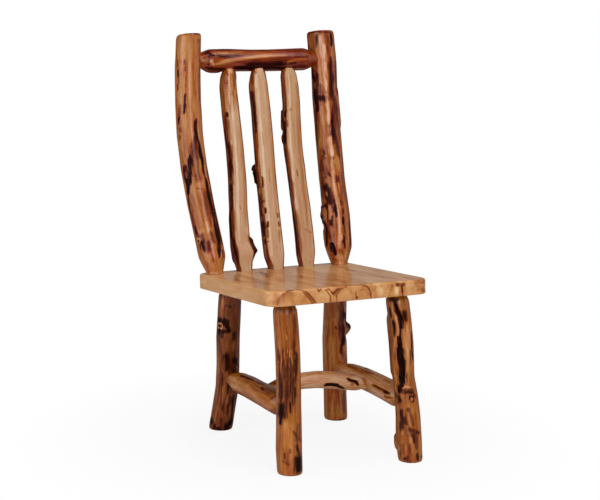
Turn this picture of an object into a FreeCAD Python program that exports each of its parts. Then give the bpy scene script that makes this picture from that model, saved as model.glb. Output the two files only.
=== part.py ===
import FreeCAD, Part
import math
import os
from FreeCAD import Vector

# Twig chair: peeled, naturally bent poles let into a thick glued-up plank seat.
# Every length is in millimetres and every angle in degrees. +Z is up and the chair faces -Y.
# Left and right are those of someone who stands in front of the chair and looks at it.
# Names that end in share or shares hold plain ratios of the size that they follow.

# Seat
seat_width = 457.0
seat_depth = 476.0
seat_thickness = 39.0
seat_height = 461.0            # top of the seat at its middle
seat_tilt = 4.7                # the front edge stands higher than the back one
front_corner_radius = 40.0
back_corner_radius = 40.0
top_edge_round = 6.0
edge_round_turn = 45.0         # where the round of the top edge has its middle corner
bottom_edge_ease = 3.0
board_joint_shares = (0.37, 0.63, 0.79)   # glue joints, counted from the left edge

# Legs: how far in from the seat's edges each one enters, and how far its foot runs out
leg_diameter = 63.0
leg_shoulder_diameter = 50.0
leg_shoulder_length = 18.0
leg_tenon_diameter = 38.0
leg_tenon_length = 26.0
front_leg_side_inset = 68.0
front_leg_end_inset = 58.0
back_leg_side_inset = 69.0
back_leg_end_inset = 81.0
front_left_foot_out = (-10.0, 25.0)       # sideways and endways
front_right_foot_out = (24.0, 54.0)
back_left_foot_out = (-5.0, 70.0)
back_right_foot_out = (25.0, 30.0)
foot_edge_ease = 3.0

# Back posts
post_diameter = 71.5
post_shoulder_diameter = 43.0
post_shoulder_length = 44.0
post_tenon_diameter = 36.0
post_tenon_length = 25.0
post_side_inset = 40.0
post_end_inset = 45.0
left_post_height = 1076.0
right_post_height = 1082.0
left_post_top_out = 13.0
right_post_top_out = 11.0
post_recline = 161.0           # how far a post's top lies behind its foot
post_top_ease = 4.0

# Top rail
rail_diameter = 60.0
rail_drop = 70.0               # from the left post's top down to the rail's middle
rail_shoulder_length = 27.0
rail_tenon_diameter = 38.0
rail_tenon_length = 42.0

# Back spindles, sawn flat on the sitter's side
spindle_shoulder_diameter = 41.0
spindle_shoulder_length = 34.0
spindle_tenon_diameter = 25.0
spindle_tenon_length = 24.0
spindle_top_shoulder_length = 30.0
spindle_top_tenon_length = 26.0
spindle_end_inset = 34.0
spindle_left_diameter = 50.0
spindle_middle_diameter = 54.5
spindle_right_diameter = 51.5
spindle_left_flat = 15.8       # from the pole's middle to its sawn face
spindle_middle_flat = 17.5
spindle_right_flat = 14.6
spindle_foot_shares = (0.245, 0.495, 0.742)
spindle_head_shares = (0.243, 0.498, 0.766)

# Stretchers
side_stretcher_diameter = 59.0
left_stretcher_front_height = 167.0
left_stretcher_back_height = 150.0
right_stretcher_front_height = 156.0
right_stretcher_back_height = 155.0
stretcher_tenon_diameter = 31.0
stretcher_tenon_length = 32.0
stretcher_front_shoulder_length = 20.0
stretcher_back_shoulder_length = 62.0
cross_stretcher_diameter = 44.0
cross_tenon_diameter = 23.0
cross_tenon_length = 27.0
cross_shoulder_length = 26.0
cross_left_share = 0.49        # along the left stretcher, from its front end
cross_right_share = 0.43

# Fits, shared by every joint
glue_line = 0.15               # between a tenon's side and its mortise
mortise_pocket = 1.5           # left for glue at the bottom of a mortise
shoulder_stand_off = 0.4       # between a turned shoulder and a round pole
shoulder_lip = 1.0             # left standing round a tenon where the taper ends
cut_overrun = 12.0             # how far a cutting shape runs past what it cuts
saw_block_size = 1600.0        # side of the block that stands for a saw cut's waste

pole_flat_count = 20           # long narrow drawknife flats round a peeled pole
knot_flat_count = 10           # whittled flats round a knot or a stub

# Bends and swellings of the poles. Each row holds shares: how far along the pole, how far
# the middle lies off the straight line (first way, second way, in pole lengths), and how
# thick the pole is there (in pole diameters).
leg_front_left_shares = (
    (0.00, 0.000, 0.000, 1.01),
    (0.14, -0.002, 0.000, 1.04),
    (0.30, 0.004, 0.002, 1.01),
    (0.50, 0.010, 0.004, 0.98),
    (0.70, 0.012, 0.004, 0.98),
    (0.87, 0.006, 0.002, 0.98),
    (1.00, 0.000, 0.000, 0.93),
)
leg_front_right_shares = (
    (0.00, 0.000, 0.000, 1.00),
    (0.13, 0.002, 0.000, 1.06),
    (0.27, 0.011, 0.004, 1.01),
    (0.40, 0.012, 0.006, 0.94),
    (0.51, 0.004, 0.008, 0.90),
    (0.70, 0.012, 0.006, 0.94),
    (0.85, 0.008, 0.003, 0.95),
    (1.00, 0.000, 0.000, 0.94),
)
leg_back_left_shares = (
    (0.00, 0.000, 0.000, 1.02),
    (0.15, 0.016, 0.006, 1.00),
    (0.30, 0.034, 0.014, 1.00),
    (0.47, 0.028, 0.016, 0.97),
    (0.66, 0.012, 0.010, 1.00),
    (0.82, 0.006, 0.004, 0.98),
    (1.00, 0.000, 0.000, 0.95),
)
leg_back_right_shares = (
    (0.00, 0.000, 0.000, 1.03),
    (0.20, -0.004, 0.004, 1.01),
    (0.38, -0.008, 0.006, 1.00),
    (0.58, -0.012, 0.006, 1.00),
    (0.75, -0.006, 0.003, 1.00),
    (0.88, -0.003, 0.001, 0.99),
    (1.00, 0.000, 0.000, 0.98),
)
post_left_shares = (
    (0.00, 0.000, 0.000, 0.99),
    (0.12, -0.008, 0.006, 1.00),
    (0.28, -0.022, 0.018, 1.00),
    (0.44, -0.032, 0.027, 0.99),
    (0.58, -0.034, 0.026, 0.98),
    (0.72, -0.029, 0.018, 0.97),
    (0.86, -0.018, 0.009, 0.96),
    (1.00, 0.000, 0.000, 0.94),
)
post_right_shares = (
    (0.00, 0.000, 0.000, 0.97),
    (0.10, 0.006, 0.005, 1.04),
    (0.20, 0.010, 0.012, 1.05),
    (0.36, 0.008, 0.022, 0.99),
    (0.54, 0.009, 0.027, 1.00),
    (0.72, 0.005, 0.019, 0.99),
    (0.86, 0.007, 0.010, 0.99),
    (1.00, 0.000, 0.000, 0.98),
)
spindle_left_shares = (
    (0.00, 0.000, 0.000, 1.00),
    (0.12, -0.010, 0.000, 1.03),
    (0.30, -0.008, 0.000, 1.00),
    (0.46, 0.000, 0.000, 0.98),
    (0.62, 0.000, 0.000, 0.97),
    (0.78, -0.006, 0.000, 0.95),
    (0.91, -0.008, 0.000, 0.95),
    (1.00, 0.000, 0.000, 0.89),
)
spindle_middle_shares = (
    (0.00, 0.000, 0.000, 1.01),
    (0.14, -0.006, 0.000, 1.04),
    (0.32, -0.007, 0.000, 1.01),
    (0.48, -0.008, 0.000, 1.01),
    (0.64, -0.003, 0.000, 1.00),
    (0.82, -0.002, 0.000, 0.97),
    (0.92, -0.002, 0.000, 0.95),
    (1.00, 0.000, 0.000, 0.87),
)
spindle_right_shares = (
    (0.00, 0.000, 0.000, 1.00),
    (0.13, 0.004, 0.000, 1.01),
    (0.30, 0.001, 0.000, 1.00),
    (0.46, -0.006, 0.000, 0.98),
    (0.62, -0.011, 0.000, 1.02),
    (0.73, -0.006, 0.000, 0.99),
    (0.83, 0.004, 0.000, 0.94),
    (0.93, 0.005, 0.000, 0.91),
    (1.00, 0.000, 0.000, 0.87),
)
rail_shares = (
    (0.00, 0.000, 0.000, 1.00),
    (0.20, 0.000, 0.004, 1.01),
    (0.40, -0.004, 0.006, 0.98),
    (0.60, -0.006, 0.004, 0.97),
    (0.80, -0.002, 0.002, 1.01),
    (1.00, 0.000, 0.000, 1.01),
)
stretcher_left_shares = (
    (0.00, 0.000, 0.000, 1.02),
    (0.20, 0.008, -0.006, 1.03),
    (0.40, 0.014, -0.012, 1.00),
    (0.60, 0.016, -0.012, 0.99),
    (0.80, 0.008, -0.006, 0.95),
    (1.00, 0.000, 0.000, 0.89),
)
stretcher_right_shares = (
    (0.00, 0.000, 0.000, 1.01),
    (0.20, 0.010, 0.004, 1.01),
    (0.40, 0.016, 0.006, 1.00),
    (0.60, 0.014, 0.006, 0.98),
    (0.80, 0.006, 0.002, 0.94),
    (1.00, 0.000, 0.000, 0.89),
)
cross_stretcher_shares = (
    (0.00, 0.000, 0.000, 0.91),
    (0.18, 0.036, 0.006, 0.94),
    (0.36, 0.064, 0.012, 0.98),
    (0.52, 0.068, 0.012, 1.02),
    (0.68, 0.052, 0.008, 1.05),
    (0.85, 0.024, 0.004, 0.99),
    (1.00, 0.000, 0.000, 0.92),
)

# Knots and the stubs of side branches: how far along the pole, which way they point
# (degrees round the pole, 0 to the right or up, 90 to the back), how far they stand out
# past the pole's skin, how tall they are at the root and at the tip, and how far they lean
# to the pole's top
knot_width_share = 0.6         # of their height
knot_root_share = 0.75         # of the pole's radius, where their root lies
knot_crown_share = 0.3         # of the tip's height: the rounded end's length and half height
knots_leg_back_right = ((0.655, 340.0, 12.0, 42.0, 30.0, 3.0),)
knots_leg_front_right = ((0.10, 165.0, 5.0, 44.0, 20.0, 5.0),)
knots_post_right = ((0.20, 165.0, 6.0, 60.0, 34.0, 6.0),)
knots_spindle_left = ((0.094, 335.0, 15.0, 66.0, 16.0, -6.0),)
knots_spindle_middle = ((0.48, 165.0, 11.0, 30.0, 13.0, 14.0),)
knots_spindle_right = ((0.66, 165.0, 3.0, 44.0, 20.0, 0.0),)

# The long healed split down the front of the right front leg
split_length = 232.0
split_width = 17.0
split_depth = 12.0
split_middle_share = 0.66
split_direction = 256.0

x_axis = Vector(1, 0, 0)
y_axis = Vector(0, 1, 0)
z_axis = Vector(0, 0, 1)


def seat_normal():
    """Upward normal of the tilted seat."""
    tilt = math.radians(seat_tilt)
    return Vector(0, math.sin(tilt), math.cos(tilt))


def on_seat(x, y, below=0.0):
    """Point of the seat's top face above a place in plan, or a depth below that face."""
    normal = seat_normal()
    height = seat_height - y * normal.y / normal.z - below / normal.z
    return Vector(x, y, height)


def flat_ring(middle, wide, deep, count):
    """Corners round an oval, as far outside it as the flats between them are inside."""
    spread = 2 / (1 + math.cos(math.pi / count))
    turns = [2 * math.pi * (number + 0.5) / count for number in range(count)]
    return [middle + (wide * math.cos(turn) + deep * math.sin(turn)) * spread for turn in turns]


def faceted_solid(rings):
    """Closed solid with flat faces between rings of corners that lie in parallel planes."""
    outlines = [rings[0], rings[-1]]
    for low, high in zip(rings, rings[1:]):
        for index, corner in enumerate(low):
            outlines.append([low[index - 1], corner, high[index], high[index - 1]])
    faces = [Part.Face(Part.makePolygon(outline + outline[:1])) for outline in outlines]
    solid = Part.Solid(Part.Shell(faces))
    if solid.Volume < 0:
        solid.reverse()
    return solid


def ways_across(normal, ways):
    """Two unit directions across a normal, as near to two given ones as they can be."""
    deep_way = (ways[1] - normal * normal.dot(ways[1])).normalize()
    wide_way = ways[0] - normal * normal.dot(ways[0])
    wide_way = (wide_way - deep_way * deep_way.dot(wide_way)).normalize()
    return wide_way, deep_way


class Pole:
    """A peeled pole between two points, bent and swollen as its rows of shares say."""

    def __init__(self, foot, head, diameter, rows, ways=(x_axis, y_axis), square_to=None):
        self.foot = foot
        self.diameter = diameter
        self.rows = rows
        self.length = (head - foot).Length
        self.line = Part.BSplineCurve()
        self.line.interpolate(Points=[self.station(head, row, ways) for row in rows],
                              Parameters=[row[0] for row in rows])
        run = (head - foot).normalize()
        self.wide_way, self.deep_way = ways_across(square_to or run, ways)
        self.solid = None

    def station(self, head, row, ways):
        """Middle of the pole at one of its rows."""
        along, first, second = row[:3]
        off = ways[0] * (first * self.length) + ways[1] * (second * self.length)
        return self.foot + (head - self.foot) * along + off

    def point(self, along):
        return self.line.value(along)

    def heading(self, along):
        """Direction of the middle line there, from foot to head."""
        return self.line.tangent(along)[0].normalize()

    def radius(self, along):
        """Half the thickness there, between the rows on either side."""
        for low, high in zip(self.rows, self.rows[1:]):
            if along <= high[0]:
                break
        mix = (along - low[0]) / (high[0] - low[0])
        return (low[3] + (high[3] - low[3]) * mix) * self.diameter / 2

    def outward(self, degrees):
        """Unit direction that points out of the pole."""
        angle = math.radians(degrees)
        return self.wide_way * math.cos(angle) + self.deep_way * math.sin(angle)

    def ring(self, along, radius=None, past=0.0):
        """Corners of the section there, or of one moved past it along the pole's heading."""
        middle = self.point(along) + self.heading(along) * past
        reach = radius or self.radius(along)
        return flat_ring(middle, self.wide_way * reach, self.deep_way * reach, pole_flat_count)

    def skin(self, first, low, high, last):
        """Close the pole between two shares of its length, with given rings at its ends."""
        inner = [row[0] for row in self.rows if low < row[0] < high]
        body = [self.ring(along) for along in [low] + inner + [high]]
        self.solid = faceted_solid(first + body + last)

    def along_at_height(self, height):
        """Share along the pole where its middle line reaches a height."""
        low, high = 0.0, 1.0
        for _ in range(40):
            middle = (low + high) / 2
            if self.point(middle).z < height:
                low = middle
            else:
                high = middle
        return (low + high) / 2

    def cut(self, *tools):
        self.solid = self.solid.cut(list(tools))

    def fuse(self, *pieces):
        self.solid = self.solid.fuse(list(pieces))

    def saw(self, point, normal):
        """Take off what stands beyond a plane."""
        waste = Part.makeBox(saw_block_size, saw_block_size, saw_block_size,
                             Vector(-saw_block_size / 2, -saw_block_size / 2, 0))
        waste.Placement = FreeCAD.Placement(point, FreeCAD.Rotation(z_axis, normal))
        self.cut(waste)

    def add_knots(self, knots):
        """Swollen knots and branch stubs, grown out of the pole."""
        for along, degrees, reach, root, tip, lean in knots:
            start = self.point(along)
            out = self.outward(degrees)
            upward = self.heading(along)
            end = start + out * (self.radius(along) + reach) + upward * lean
            crown = tip * knot_crown_share
            steps = (
                (start, root / 2),
                (start + out * (self.radius(along) * knot_root_share), root / 2),
                (end - out * crown, tip / 2),
                (end, crown),
            )
            wide_way, tall_way = ways_across(out, (out.cross(upward), upward))
            self.fuse(faceted_solid([
                flat_ring(middle, wide_way * (reach_up * knot_width_share), tall_way * reach_up,
                          knot_flat_count)
                for middle, reach_up in steps]))


class Tenon:
    """A turned tenon on the end of a pole: where it starts, which way it runs, its sizes."""

    def __init__(self, origin, direction, diameter, length):
        self.origin = origin
        self.direction = direction
        self.radius = diameter / 2
        self.length = length

    def solid(self):
        """The tenon as a round peg, rooted in the pole by its own radius."""
        root = self.origin - self.direction * self.radius
        return Part.makeCylinder(self.radius, self.length + self.radius, root, self.direction)

    def mortise(self):
        """The hole that the tenon is glued into, run out past the mouth."""
        start = self.origin - self.direction * cut_overrun
        depth = cut_overrun + self.length + mortise_pocket
        return Part.makeCylinder(self.radius + glue_line, depth, start, self.direction)


def make_leg(side, end, side_inset, end_inset, foot_out, rows):
    """A leg from its foot to the seat's underside, cut flush there round its tenon."""
    top = on_seat(side * (seat_width / 2 - side_inset), end * (seat_depth / 2 - end_inset),
                  seat_thickness)
    foot = Vector(top.x + side * foot_out[0], top.y + end * foot_out[1], 0)
    pole = Pole(foot, top, leg_diameter, rows, square_to=z_axis)
    tenon = Tenon(top, pole.heading(1.0), leg_tenon_diameter, leg_tenon_length)
    sole = [pole.ring(0.0, pole.radius(0.0) - foot_edge_ease)]
    shoulder = leg_shoulder_diameter / 2
    pole.skin(sole, foot_edge_ease / pole.length, 1 - leg_shoulder_length / pole.length,
              [pole.ring(1.0, shoulder), pole.ring(1.0, shoulder, cut_overrun)])
    pole.saw(top, seat_normal())
    pole.fuse(tenon.solid())
    return pole, tenon


def make_post(side, height, top_out, rows):
    """A back post from the seat's top to its sawn head, cut flush below round its tenon."""
    foot = on_seat(side * (seat_width / 2 - post_side_inset), seat_depth / 2 - post_end_inset)
    head = Vector(foot.x + side * top_out, foot.y + post_recline, height)
    pole = Pole(foot, head, post_diameter, rows)
    tenon = Tenon(foot, pole.heading(0.0) * -1, post_tenon_diameter, post_tenon_length)
    shoulder = post_shoulder_diameter / 2
    pole.skin([pole.ring(0.0, shoulder, -cut_overrun), pole.ring(0.0, shoulder)],
              post_shoulder_length / pole.length, 1 - post_top_ease / pole.length,
              [pole.ring(1.0, pole.radius(1.0) - post_top_ease)])
    pole.saw(foot, seat_normal() * -1)
    pole.fuse(tenon.solid())
    return pole, tenon


def make_bar(start_pole, start_along, end_pole, end_along, diameter, rows, ways,
             tenon_diameter, tenon_length, shoulder_lengths):
    """A rail or stretcher between two poles, with a tapered shoulder and a tenon at each end."""
    start = start_pole.point(start_along)
    end = end_pole.point(end_along)
    across = (end - start).normalize()
    start = start + across * (start_pole.radius(start_along) + shoulder_stand_off)
    end = end - across * (end_pole.radius(end_along) + shoulder_stand_off)
    pole = Pole(start, end, diameter, rows, ways)
    first = Tenon(start, pole.heading(0.0) * -1, tenon_diameter, tenon_length)
    last = Tenon(end, pole.heading(1.0), tenon_diameter, tenon_length)
    shoulder = tenon_diameter / 2 + shoulder_lip
    pole.skin([pole.ring(0.0, shoulder)], shoulder_lengths[0] / pole.length,
              1 - shoulder_lengths[1] / pole.length, [pole.ring(1.0, shoulder)])
    pole.fuse(first.solid(), last.solid())
    return pole, first, last


def make_spindle(foot_x, rail, rail_along, diameter, flat, rows):
    """A back spindle from the seat to the rail, sawn flat on the sitter's side."""
    foot = on_seat(foot_x, seat_depth / 2 - spindle_end_inset)
    rail_middle = rail.point(rail_along)
    upward = (rail_middle - foot).normalize()
    head = rail_middle - upward * (rail.radius(rail_along) + shoulder_stand_off)
    pole = Pole(foot, head, diameter, rows)
    low = Tenon(foot, pole.heading(0.0) * -1, spindle_tenon_diameter, spindle_tenon_length)
    high = Tenon(head, pole.heading(1.0), spindle_tenon_diameter, spindle_top_tenon_length)
    shoulder = spindle_shoulder_diameter / 2
    pole.skin([pole.ring(0.0, shoulder, -cut_overrun), pole.ring(0.0, shoulder)],
              spindle_shoulder_length / pole.length,
              1 - spindle_top_shoulder_length / pole.length,
              [pole.ring(1.0, spindle_tenon_diameter / 2 + shoulder_lip)])
    pole.saw(foot - pole.deep_way * flat, pole.deep_way * -1)
    pole.saw(foot, seat_normal() * -1)
    pole.fuse(low.solid(), high.solid())
    return pole, low, high


def split_tool(pole):
    """Long diamond that opens the healed split in a leg's skin."""
    along = split_middle_share
    out = pole.outward(split_direction)
    run = pole.heading(along)
    sideways = run.cross(out)
    skin = pole.point(along) + out * pole.radius(along)
    rim = [skin + run * (split_length / 2), skin + sideways * (split_width / 2),
           skin - run * (split_length / 2), skin - sideways * (split_width / 2)]
    tips = (skin - out * split_depth, skin + out * split_depth)
    faces = []
    for tip in tips:
        for first, second in zip(rim, rim[1:] + rim[:1]):
            faces.append(Part.Face(Part.makePolygon([first, second, tip, first])))
    solid = Part.Solid(Part.Shell(faces))
    if solid.Volume < 0:
        solid.reverse()
    return solid


def seat_outline(inset, depth):
    """Rounded outline of the seat, drawn in from its edges, at a depth below its top."""
    wide, deep = seat_width / 2, seat_depth / 2
    corners = (
        (-wide, -deep, front_corner_radius), (wide, -deep, front_corner_radius),
        (wide, deep, back_corner_radius), (-wide, deep, back_corner_radius),
    )
    diagonal = math.sqrt(0.5)
    arcs = []
    ends = []
    for x, y, full_radius in corners:
        sx, sy = math.copysign(1, x), math.copysign(1, y)
        centre = Vector(x - sx * full_radius, y - sy * full_radius, -depth)
        radius = full_radius - inset
        on_side = centre + Vector(sx * radius, 0, 0)
        on_end = centre + Vector(0, sy * radius, 0)
        middle = centre + Vector(sx * radius * diagonal, sy * radius * diagonal, 0)
        first, last = (on_side, on_end) if sx * sy > 0 else (on_end, on_side)
        arcs.append(Part.Arc(first, middle, last).toShape())
        ends.append((first, last))
    edges = []
    for index, arc in enumerate(arcs):
        edges.append(arc)
        edges.append(Part.makeLine(ends[index][1], ends[(index + 1) % len(ends)][0]))
    return Part.Wire(edges)


def seat_blank():
    """The whole seat, flat on the ground plane, with its top at zero and its edges eased."""
    turn = math.radians(edge_round_turn)
    steps = (
        (top_edge_round, 0),
        (top_edge_round * (1 - math.sin(turn)), top_edge_round * (1 - math.cos(turn))),
        (0, top_edge_round),
        (0, seat_thickness - bottom_edge_ease),
        (bottom_edge_ease, seat_thickness),
    )
    return Part.makeLoft([seat_outline(inset, depth) for inset, depth in steps], True, True)


def seat_boards(tenons):
    """The seat's glued-up boards, tilted into place, with every mortise drilled."""
    blank = seat_blank()
    joints = [share * seat_width - seat_width / 2 for share in board_joint_shares]
    sides = [-seat_width / 2 - cut_overrun] + joints + [seat_width / 2 + cut_overrun]
    boards = []
    for left, right in zip(sides, sides[1:]):
        strip = Part.makeBox(right - left, seat_depth + 2 * cut_overrun,
                             seat_thickness + 2 * cut_overrun,
                             Vector(left, -seat_depth / 2 - cut_overrun,
                                    -seat_thickness - cut_overrun))
        board = blank.common(strip)
        board.Placement = FreeCAD.Placement(on_seat(0, 0),
                                            FreeCAD.Rotation(z_axis, seat_normal()))
        boards.append(board.cut([tenon.mortise() for tenon in tenons]))
    return boards


def build_chair():
    """Every piece of the chair by name, with the middle of the seat above the origin."""
    leg_fl, tenon_fl = make_leg(-1, -1, front_leg_side_inset, front_leg_end_inset,
                                front_left_foot_out, leg_front_left_shares)
    leg_fr, tenon_fr = make_leg(1, -1, front_leg_side_inset, front_leg_end_inset,
                                front_right_foot_out, leg_front_right_shares)
    leg_bl, tenon_bl = make_leg(-1, 1, back_leg_side_inset, back_leg_end_inset,
                                back_left_foot_out, leg_back_left_shares)
    leg_br, tenon_br = make_leg(1, 1, back_leg_side_inset, back_leg_end_inset,
                                back_right_foot_out, leg_back_right_shares)
    leg_br.add_knots(knots_leg_back_right)
    leg_fr.add_knots(knots_leg_front_right)
    leg_fr.cut(split_tool(leg_fr))

    post_l, tenon_pl = make_post(-1, left_post_height, left_post_top_out, post_left_shares)
    post_r, tenon_pr = make_post(1, right_post_height, right_post_top_out, post_right_shares)
    post_r.add_knots(knots_post_right)

    rail, rail_first, rail_last = make_bar(
        post_l, post_l.along_at_height(left_post_height - rail_drop),
        post_r, post_r.along_at_height(left_post_height - rail_drop),
        rail_diameter, rail_shares, (z_axis, y_axis),
        rail_tenon_diameter, rail_tenon_length, (rail_shoulder_length, rail_shoulder_length))

    shoulders = (stretcher_front_shoulder_length, stretcher_back_shoulder_length)
    bar_l, left_first, left_last = make_bar(
        leg_fl, leg_fl.along_at_height(left_stretcher_front_height),
        leg_bl, leg_bl.along_at_height(left_stretcher_back_height),
        side_stretcher_diameter, stretcher_left_shares, (z_axis, x_axis),
        stretcher_tenon_diameter, stretcher_tenon_length, shoulders)
    bar_r, right_first, right_last = make_bar(
        leg_fr, leg_fr.along_at_height(right_stretcher_front_height),
        leg_br, leg_br.along_at_height(right_stretcher_back_height),
        side_stretcher_diameter, stretcher_right_shares, (z_axis, x_axis),
        stretcher_tenon_diameter, stretcher_tenon_length, shoulders)
    bar_c, cross_first, cross_last = make_bar(
        bar_l, cross_left_share, bar_r, cross_right_share,
        cross_stretcher_diameter, cross_stretcher_shares, (z_axis, y_axis),
        cross_tenon_diameter, cross_tenon_length, (cross_shoulder_length, cross_shoulder_length))

    spindles = []
    seat_tenons = [tenon_fl, tenon_fr, tenon_bl, tenon_br, tenon_pl, tenon_pr]
    kinds = (
        ("left", spindle_left_diameter, spindle_left_flat, spindle_left_shares,
         knots_spindle_left),
        ("middle", spindle_middle_diameter, spindle_middle_flat, spindle_middle_shares,
         knots_spindle_middle),
        ("right", spindle_right_diameter, spindle_right_flat, spindle_right_shares,
         knots_spindle_right),
    )
    for kind, foot_share, head_share in zip(kinds, spindle_foot_shares, spindle_head_shares):
        name, diameter, flat, rows, knots = kind
        foot_x = post_l.foot.x + (post_r.foot.x - post_l.foot.x) * foot_share
        spindle, low, high = make_spindle(foot_x, rail, head_share, diameter, flat, rows)
        spindle.add_knots(knots)
        spindles.append((name, spindle))
        seat_tenons.append(low)
        rail.cut(high.mortise())

    post_l.cut(rail_first.mortise())
    post_r.cut(rail_last.mortise())
    leg_fl.cut(left_first.mortise())
    leg_bl.cut(left_last.mortise())
    leg_fr.cut(right_first.mortise())
    leg_br.cut(right_last.mortise())
    bar_l.cut(cross_first.mortise())
    bar_r.cut(cross_last.mortise())

    pieces = {
        "leg_front_left": leg_fl.solid, "leg_front_right": leg_fr.solid,
        "leg_back_left": leg_bl.solid, "leg_back_right": leg_br.solid,
        "back_post_left": post_l.solid, "back_post_right": post_r.solid,
        "top_rail": rail.solid, "side_stretcher_left": bar_l.solid,
        "side_stretcher_right": bar_r.solid, "cross_stretcher": bar_c.solid,
    }
    for name, spindle in spindles:
        pieces["back_spindle_" + name] = spindle.solid
    for number, board in enumerate(seat_boards(seat_tenons), 1):
        pieces["seat_board_%d" % number] = board
    return pieces


def centred(pieces):
    """Move the whole chair so that the middle of its footprint's box is the origin."""
    whole = FreeCAD.BoundBox()
    for solid in pieces.values():
        whole.add(solid.optimalBoundingBox())
    shift = Vector(-whole.Center.x, -whole.Center.y, -whole.ZMin)
    print("box %.1f x %.1f x %.1f, seat middle moved by %.1f, %.1f, %.2f"
          % (whole.XLength, whole.YLength, whole.ZLength, shift.x, shift.y, shift.z))
    return {name: solid.translated(shift) for name, solid in pieces.items()}


def main():
    os.makedirs("parts", exist_ok=True)
    for name, solid in centred(build_chair()).items():
        print("%-22s solids %d valid %s volume %.0f cm3"
              % (name, len(solid.Solids), solid.isValid(), solid.Volume / 1000))
        solid.exportStep(os.path.join("parts", name + ".step"))


main()
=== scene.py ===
# %% [markdown]
# A twig chair of peeled aspen poles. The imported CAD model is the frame: it says how large each
# piece is and where it stands. This lesson dresses it. Each pole gets a skin that is dense enough
# to hold knots, fissures and drawknife marks, and each finish is built from its real recipe.

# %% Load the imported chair
import math
import bpy
import numpy as np
from mathutils import Matrix, Vector
from mathutils.bvhtree import BVHTree


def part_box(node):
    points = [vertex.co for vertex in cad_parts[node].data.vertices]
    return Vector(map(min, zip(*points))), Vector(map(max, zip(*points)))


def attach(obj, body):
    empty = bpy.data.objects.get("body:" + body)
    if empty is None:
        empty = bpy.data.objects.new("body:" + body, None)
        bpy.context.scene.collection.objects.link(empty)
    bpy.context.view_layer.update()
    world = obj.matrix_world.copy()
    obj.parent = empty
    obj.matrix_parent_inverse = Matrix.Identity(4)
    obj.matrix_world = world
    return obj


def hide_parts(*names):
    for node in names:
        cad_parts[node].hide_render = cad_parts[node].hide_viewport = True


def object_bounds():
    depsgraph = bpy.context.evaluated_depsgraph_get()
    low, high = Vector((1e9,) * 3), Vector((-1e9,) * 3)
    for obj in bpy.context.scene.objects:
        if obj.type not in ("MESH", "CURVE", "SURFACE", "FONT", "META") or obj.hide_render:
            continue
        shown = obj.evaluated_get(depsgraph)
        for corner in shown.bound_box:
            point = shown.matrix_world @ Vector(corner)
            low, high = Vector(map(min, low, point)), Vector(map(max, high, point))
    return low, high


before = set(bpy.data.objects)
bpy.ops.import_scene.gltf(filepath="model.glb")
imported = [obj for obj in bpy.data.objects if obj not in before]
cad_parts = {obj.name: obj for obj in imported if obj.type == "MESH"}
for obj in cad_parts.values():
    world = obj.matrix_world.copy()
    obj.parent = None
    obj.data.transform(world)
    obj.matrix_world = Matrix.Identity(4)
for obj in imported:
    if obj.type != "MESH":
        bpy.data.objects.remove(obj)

cad_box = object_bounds()
print("nodes:", len(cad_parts), "box:", [round(v, 4) for v in (*cad_box[0], *cad_box[1])])

# %% [markdown]
# Colours are written as the sRGB hex codes that a paint program shows, and Blender's shaders want
# linear light, so one function turns one into the other. Node graphs repeat one step over and
# over: add a node, set it, wire it. One small helper does that and keeps the recipes short.

# %% Helpers for colour and nodes
MM = 0.001


def linear(code):
    """Linear colour of an sRGB hex code such as "#B98660"."""
    parts = [int(code[i:i + 2], 16) / 255 for i in (1, 3, 5)]
    return [v / 12.92 if v <= 0.04045 else ((v + 0.055) / 1.055) ** 2.4 for v in parts] + [1.0]


def add(tree, kind, links=None, sets=None, **settings):
    """Add a node, set its properties and sockets, and wire sockets to other nodes' outputs."""
    node = tree.nodes.new(kind)
    for name, value in settings.items():
        setattr(node, name, value)
    for socket, value in (sets or {}).items():
        node.inputs[socket].default_value = value
    for socket, output in (links or {}).items():
        tree.links.new(output, node.inputs[socket])
    return node


def ramp_stops(node, stops):
    """Fill a colour ramp with (place, hex code) stops."""
    band = node.color_ramp
    while len(band.elements) > 1:
        band.elements.remove(band.elements[-1])
    band.elements[0].position = stops[0][0]
    band.elements[0].color = linear(stops[0][1])
    for place, code in stops[1:]:
        band.elements.new(place).color = linear(code)
    return node


print("honey aspen #B38057 in linear light:", [round(v, 3) for v in linear("#B38057")[:3]])

# %% [markdown]
# The camera comes first, because everything is judged through it. Its place was fitted to the
# seat's corners, the feet and the post tops in the photograph: 26.4 degrees to the chair's right
# hand, a little above the seat, with a long lens about 4.2 m away. The seat's own plane is read
# from the frame, because the poles are cut flush to it.

# %% The seat's plane and the camera
PHOTO_WIDE, PHOTO_HIGH = 600, 500
SEAT_NODES = ["seat_board_%d" % number for number in (1, 2, 3, 4)]


def vertices_of(node):
    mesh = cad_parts[node].data
    flat = np.empty(len(mesh.vertices) * 3, np.float32)
    mesh.vertices.foreach_get("co", flat)
    return flat.reshape(-1, 3).astype(float)


def shell_of(node):
    """The CAD node as a tree that rays can hit."""
    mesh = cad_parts[node].data
    return BVHTree.FromPolygons([v.co for v in mesh.vertices], [p.vertices for p in mesh.polygons])


board_shell = shell_of(SEAT_NODES[1])
board_low, board_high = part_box(SEAT_NODES[1])
probe_x = (board_low.x + board_high.x) / 2
probe_ys = (board_low.y * 0.7 + board_high.y * 0.3, board_low.y * 0.3 + board_high.y * 0.7)
probe_hits = [board_shell.ray_cast(Vector((probe_x, y, 1.0)), Vector((0, 0, -1)))[0] for y in probe_ys]
seat_tilt = math.atan2(probe_hits[0].z - probe_hits[1].z, probe_ys[1] - probe_ys[0])
seat_up = Vector((0, math.sin(seat_tilt), math.cos(seat_tilt)))
seat_back = Vector((0, math.cos(seat_tilt), -math.sin(seat_tilt)))

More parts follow.
